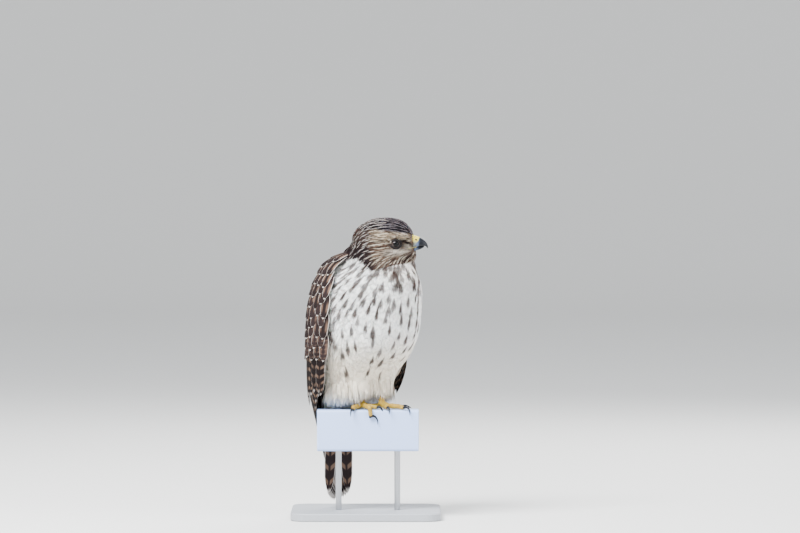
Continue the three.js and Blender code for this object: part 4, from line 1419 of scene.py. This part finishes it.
TOES = ("inner", "middle", "outer", "hind")
FOOT = {
    "right": dict(hub=(-15, 11), toes=((60, 27), (29, 38), (-32, 28), (208, 21))),
    "left": dict(hub=(15, 4), toes=((17, 29), (53, 42), (88, 31), (236, 21))),
}
TOE_RADIUS, CLAW_RADIUS, TARSUS_RADIUS = 3.3, 2.3, 3.9
TOE_ROOT_RISE, TOE_RINGS, TOE_SIDES, PLATE_GAP = 5.2, 72, 16, 2.3
CLAW_RINGS, CLAW_SIDES = 26, 14
PALM_RADIUS, PALM_UP = 5.6, 3.0
SHIN_RINGS, SHIN_SIDES, SHIN_PLATES, SHIN_TOP = 60, 18, 14, 48
EDGE_NEAR, EDGE_FAR = 24, -7  # a toe that ends past these lets its claw hang
RAIL_FRAME = Matrix.Translation(FEET) @ Matrix.Scale(MM, 4)


def by_rail(right, near, up):
    return np.array([right, -near, up], float)


def toe_path(name, toe):
    """Points from the hub along the rail's top, turning down over its edge where the toe is longer."""
    bearing, length = toe
    right, near = FOOT[name]["hub"]
    ahead = (math.sin(math.radians(bearing)), math.cos(math.radians(bearing)))
    flat = (RAIL_FRONT + TOE_RADIUS * 0.6 - near) / ahead[1] if ahead[1] > 0.05 else math.inf
    points = []
    for i in range(7):
        run = length * i / 6
        over, along = max(0.0, run - flat), min(run, flat)
        arch = 1.6 * math.sin(math.pi * i / 6)
        x = right + ahead[0] * (along + over * 0.25)
        y = near + ahead[1] * along + (TOE_RADIUS * 0.55 if over > 0 else 0)
        raised = TOE_ROOT_RISE * max(0.0, 1 - 2.4 * i / 6) ** 1.5
        points.append(by_rail(x, y, TOE_RADIUS + raised + arch - over * 0.95))
    return np.array(points)


def tube(path, radius, count, sides, name, material, attribute=None):
    """A round limb along a curve in the rail's frame; radius(share, angle) in millimetres."""
    centre = through(path, count)
    heading = unit(np.gradient(centre, axis=0))
    level = unit(np.cross(heading, np.array([0.02, 0.01, 1.0])))
    upward = np.cross(level, heading)
    angle = np.linspace(0, 2 * math.pi, sides, endpoint=False)
    rings = []
    for i in range(count):
        size = radius(i / (count - 1), angle)
        round_ = level[i] * (size * np.cos(angle))[:, None]
        rings.append(centre[i] + round_ + upward[i] * (size * np.sin(angle))[:, None])
    return loft(rings, name, material, RAIL_FRAME, attribute)


def toe_radius(length):
    """Pads below at each joint and cross plates above."""
    plates = round(length / PLATE_GAP)

    def radius(share, angle):
        taper = 1.12 - 0.34 * share
        pad = 0.12 * math.sin(3 * math.pi * share) ** 2
        plate = 0.045 * (1 - ((share * plates) % 1.0)) * (np.sin(angle) > 0.1)
        sole = 0.10 * abs(math.sin(2.5 * math.pi * share)) * (np.sin(angle) < -0.3)
        end = math.sqrt(max(0.0, 1 - max(0.0, (share - 0.93) / 0.075) ** 2))
        return TOE_RADIUS * (taper + pad + plate + sole) * max(end, 0.35)

    return radius


def claw_path(name, toe):
    """Down over the rail's edge where the toe ends near it, else forward onto its top."""
    path = toe_path(name, toe)
    end = path[-1]
    way = end - path[-2]
    way[2] = 0
    way = unit(way)
    bearing, length = toe
    long = 17 if length > 35 else 14
    near = FOOT[name]["hub"][1] + length * math.cos(math.radians(bearing))
    stations = ((-0.15, 0), (0.3, -0.12), (0.7, 0), (0.95, (end[2] - 1) / long))
    if near > EDGE_NEAR or near < EDGE_FAR:
        stations = ((-0.15, 0), (0.28, -0.06), (0.56, 0.22), (0.62, 0.72))
    return np.array([end + way * long * ahead - np.array([0, 0, long * drop]) for ahead, drop in stations])


def claw_radius(share, angle):
    return CLAW_RADIUS * (1 - share) ** 0.8 + 0.12 + 0 * angle


def shin_radius(share, angle):
    plate = 0.05 * (1 - (share * SHIN_PLATES) % 1.0) * (np.cos(angle - 4.4) > 0)
    return TARSUS_RADIUS * (1.12 - 0.1 * share + plate)


def grooves(rings, plates, depth, low, high):
    """How light the skin is ring by ring, dark in the groove at each plate's end."""
    return 1 - depth * smoothstep(low, high, (np.linspace(0, 1, rings) * plates) % 1.0)


def make_leg(name, skin, horn):
    """One foot with its toes and claws, and the bare shin above it."""
    right, near = FOOT[name]["hub"]
    made = []
    for toe_name, toe in zip(TOES, FOOT[name]["toes"]):
        path, length = toe_path(name, toe), toe[1]
        plates = ("Plate", grooves(TOE_RINGS, round(length / PLATE_GAP), 0.55, 0.82, 0.98))
        label = f"toe_{name}_{toe_name}"
        made.append(tube(path, toe_radius(length), TOE_RINGS, TOE_SIDES, label, skin, plates))
        label = f"talon_{name}_{toe_name}"
        claw = tube(claw_path(name, toe), claw_radius, CLAW_RINGS, CLAW_SIDES, label, horn)
        finished(claw, "horn", f"claw_{name}_{toe_name}")
    palm_at = (right, -near, PALM_UP + TOE_ROOT_RISE)
    palm = ball(f"palm_{name}", skin, RAIL_FRAME, palm_at, PALM_RADIUS, (28, 18), (1.1, 1.1, 0.85))
    set_value(palm.data, "Plate", [1.0] * len(palm.data.vertices))
    for part in (*made, palm):
        finished(part, "scaled_skin", f"foot_{name}")
    top = by_rail(right - 4, near - 8, SHIN_TOP)
    ankle = by_rail(right, near, PALM_UP + TOE_ROOT_RISE)
    path = np.array([ankle, (ankle + top) / 2, top])
    plates = ("Plate", grooves(SHIN_RINGS, SHIN_PLATES, 0.6, 0.84, 0.98))
    shin = tube(path, shin_radius, SHIN_RINGS, SHIN_SIDES, f"shin_{name}", skin, plates)
    finished(shin, "scaled_skin", f"tarsus_{name}")


# Rail and stand


def finish_stand():
    rail = paint_material("pale rail paint", linear(170, 194, 240), 0.34, 0.025)
    base = paint_material("base paint", linear(158, 161, 166), 0.5, 0.03)
    steel = steel_material()
    for name, material in (
        ("perch_rail", rail),
        ("stand_base", base),
        ("stand_rod_left", steel),
        ("stand_rod_right", steel),
    ):
        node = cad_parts[name]
        node.data.materials.clear()
        node.data.materials.append(material)


# Floor, light and camera


def make_stage():
    """A wide dish: flat under the bird, and rising far out all round, so that no side shows its edge."""
    shader = Shader("pale floor", Roughness=0.9)
    shader.colour(rgba(linear(226, 225, 222)))
    flat, curve, high = 8.5, 2.5, 6.0  # metres
    profile = [(0.0, 0.0), (flat, 0.0)]
    for a in np.linspace(0.12, math.pi / 2, 12):
        profile.append((flat + curve * math.sin(a), curve - curve * math.cos(a)))
    profile.append((flat + curve, high))
    built = bmesh.new()
    line = [built.verts.new((r, 0.0, z)) for r, z in profile]
    edges = [built.edges.new(pair) for pair in zip(line, line[1:])]
    bmesh.ops.spin(
        built, geom=line + edges, cent=(0, 0, 0), axis=(0, 0, 1), angle=2 * math.pi, steps=72, use_merge=True
    )
    bmesh.ops.remove_doubles(built, verts=built.verts, dist=1e-5)
    bmesh.ops.recalc_face_normals(built, faces=built.faces)
    floor = from_bmesh("floor", built, shader.material)


LIGHT_AIM = (0, 0, 0.3)


def add_light(name, place, power, size, colour=(1, 1, 1)):
    data = bpy.data.lights.new(name, "AREA")
    data.energy, data.size, data.color = power, size, colour
    lamp = linked(name, data)
    lamp.location = place
    lamp.rotation_euler = (Vector(LIGHT_AIM) - Vector(place)).to_track_quat("-Z", "Y").to_euler()


def make_lights():
    add_light("key", (-1.2, -1.7, 2.6), 400, 1.5, (0.97, 0.985, 1))
    add_light("fill", (2.2, -1.6, 1.2), 56, 2.0, (0.93, 0.96, 1))
    add_light("back", (0.8, 1.8, 1.9), 66, 1.4)
    world = bpy.data.worlds.new("studio")
    world.use_nodes = True
    glow = world.node_tree.nodes["Background"].inputs
    glow["Color"].default_value = (0.9, 0.94, 1.0, 1)
    glow["Strength"].default_value = 1.15
    bpy.context.scene.world = world


PHOTO_MM = 1.5  # millimetres to the photograph's pixel at the bird
PHOTO_CENTRE = (28, 142.5)  # pixels right of and above the feet
PHOTO_WIDTH = 800  # pixels
CAMERA_ELEVATION, CAMERA_DISTANCE, SENSOR_WIDTH = math.radians(1.5), 7.0, 36


def make_camera():
    right, up = (p * PHOTO_MM * MM for p in PHOTO_CENTRE)
    aim = FEET + Vector((right, 0, up))
    back = Vector((0, -math.cos(CAMERA_ELEVATION), math.sin(CAMERA_ELEVATION)))
    data = bpy.data.cameras.new("camera")
    data.sensor_width = SENSOR_WIDTH
    data.lens = SENSOR_WIDTH * CAMERA_DISTANCE / (PHOTO_WIDTH * PHOTO_MM * MM)
    data.clip_start, data.clip_end = 0.1, 50
    camera = linked("camera", data)
    camera.location = aim + back * CAMERA_DISTANCE
    camera.rotation_euler = (-back).to_track_quat("-Z", "Y").to_euler()
    bpy.context.scene.camera = camera


def main():
    make_camera()
    make_stage()
    make_lights()
    finish_stand()
    coat, under, vane = coat_material(), skin_material(), vane_material()
    skin = make_skin(under)
    ground = Ground(skin)
    marks = make_marks(ground)
    pieces = body_feathers(ground, marks, coat) + head_feathers(ground, marks, coat)
    paint_skin(skin, marks)
    finished(skin, "plumage", *FLESH)
    for part in pieces:
        finished(part, "plumage")
    for side, name in SIDES:
        core = wing_core(side, f"wing_core_{name}", under)
        feathers = make_wing(side, f"wing_feathers_{name}", vane)
        finished(core, "dark_plumage", f"wing_{name}")
        finished(feathers, "dark_plumage", f"wing_{name}")
    finished(make_tail(vane), "dark_plumage", "tail")
    eye, rim = eye_material(), rim_material()
    for side, name in SIDES:
        finished(make_eye(side, f"eyeball_{name}", eye), "eye", f"eye_{name}")
        finished(make_lids(side, f"lids_{name}", rim), "cere_skin")
    horn, cere_skin = bill_material(), cere_material()
    cere, upper, lower = make_bill(horn, cere_skin)
    finished(cere, "cere_skin", "cere")
    finished(upper, "horn", "beak_upper")
    finished(lower, "horn", "beak_lower")
    # The nostrils are near-black balls on the cere: painted shade for the openings.
    hole = Shader("nostril", Roughness=0.8, Base_Color=seen(22, 18, 16)).material
    for side, name in SIDES:
        at = (side * NOSTRIL_AT[0], *NOSTRIL_AT[1:])
        nostril = ball(f"nostril_{name}", hole, HEAD, at, 1.0, (16, 10), (0.4, 1.7, 1.1), 0.35)
        finished(nostril, "cere_skin")
        finished(make_gape(side, f"gape_{name}", ground, cere_skin), "cere_skin")
    skin_of_foot, claw = foot_material(), claw_material()
    for name in ("right", "left"):
        make_leg(name, skin_of_foot, claw)


main()
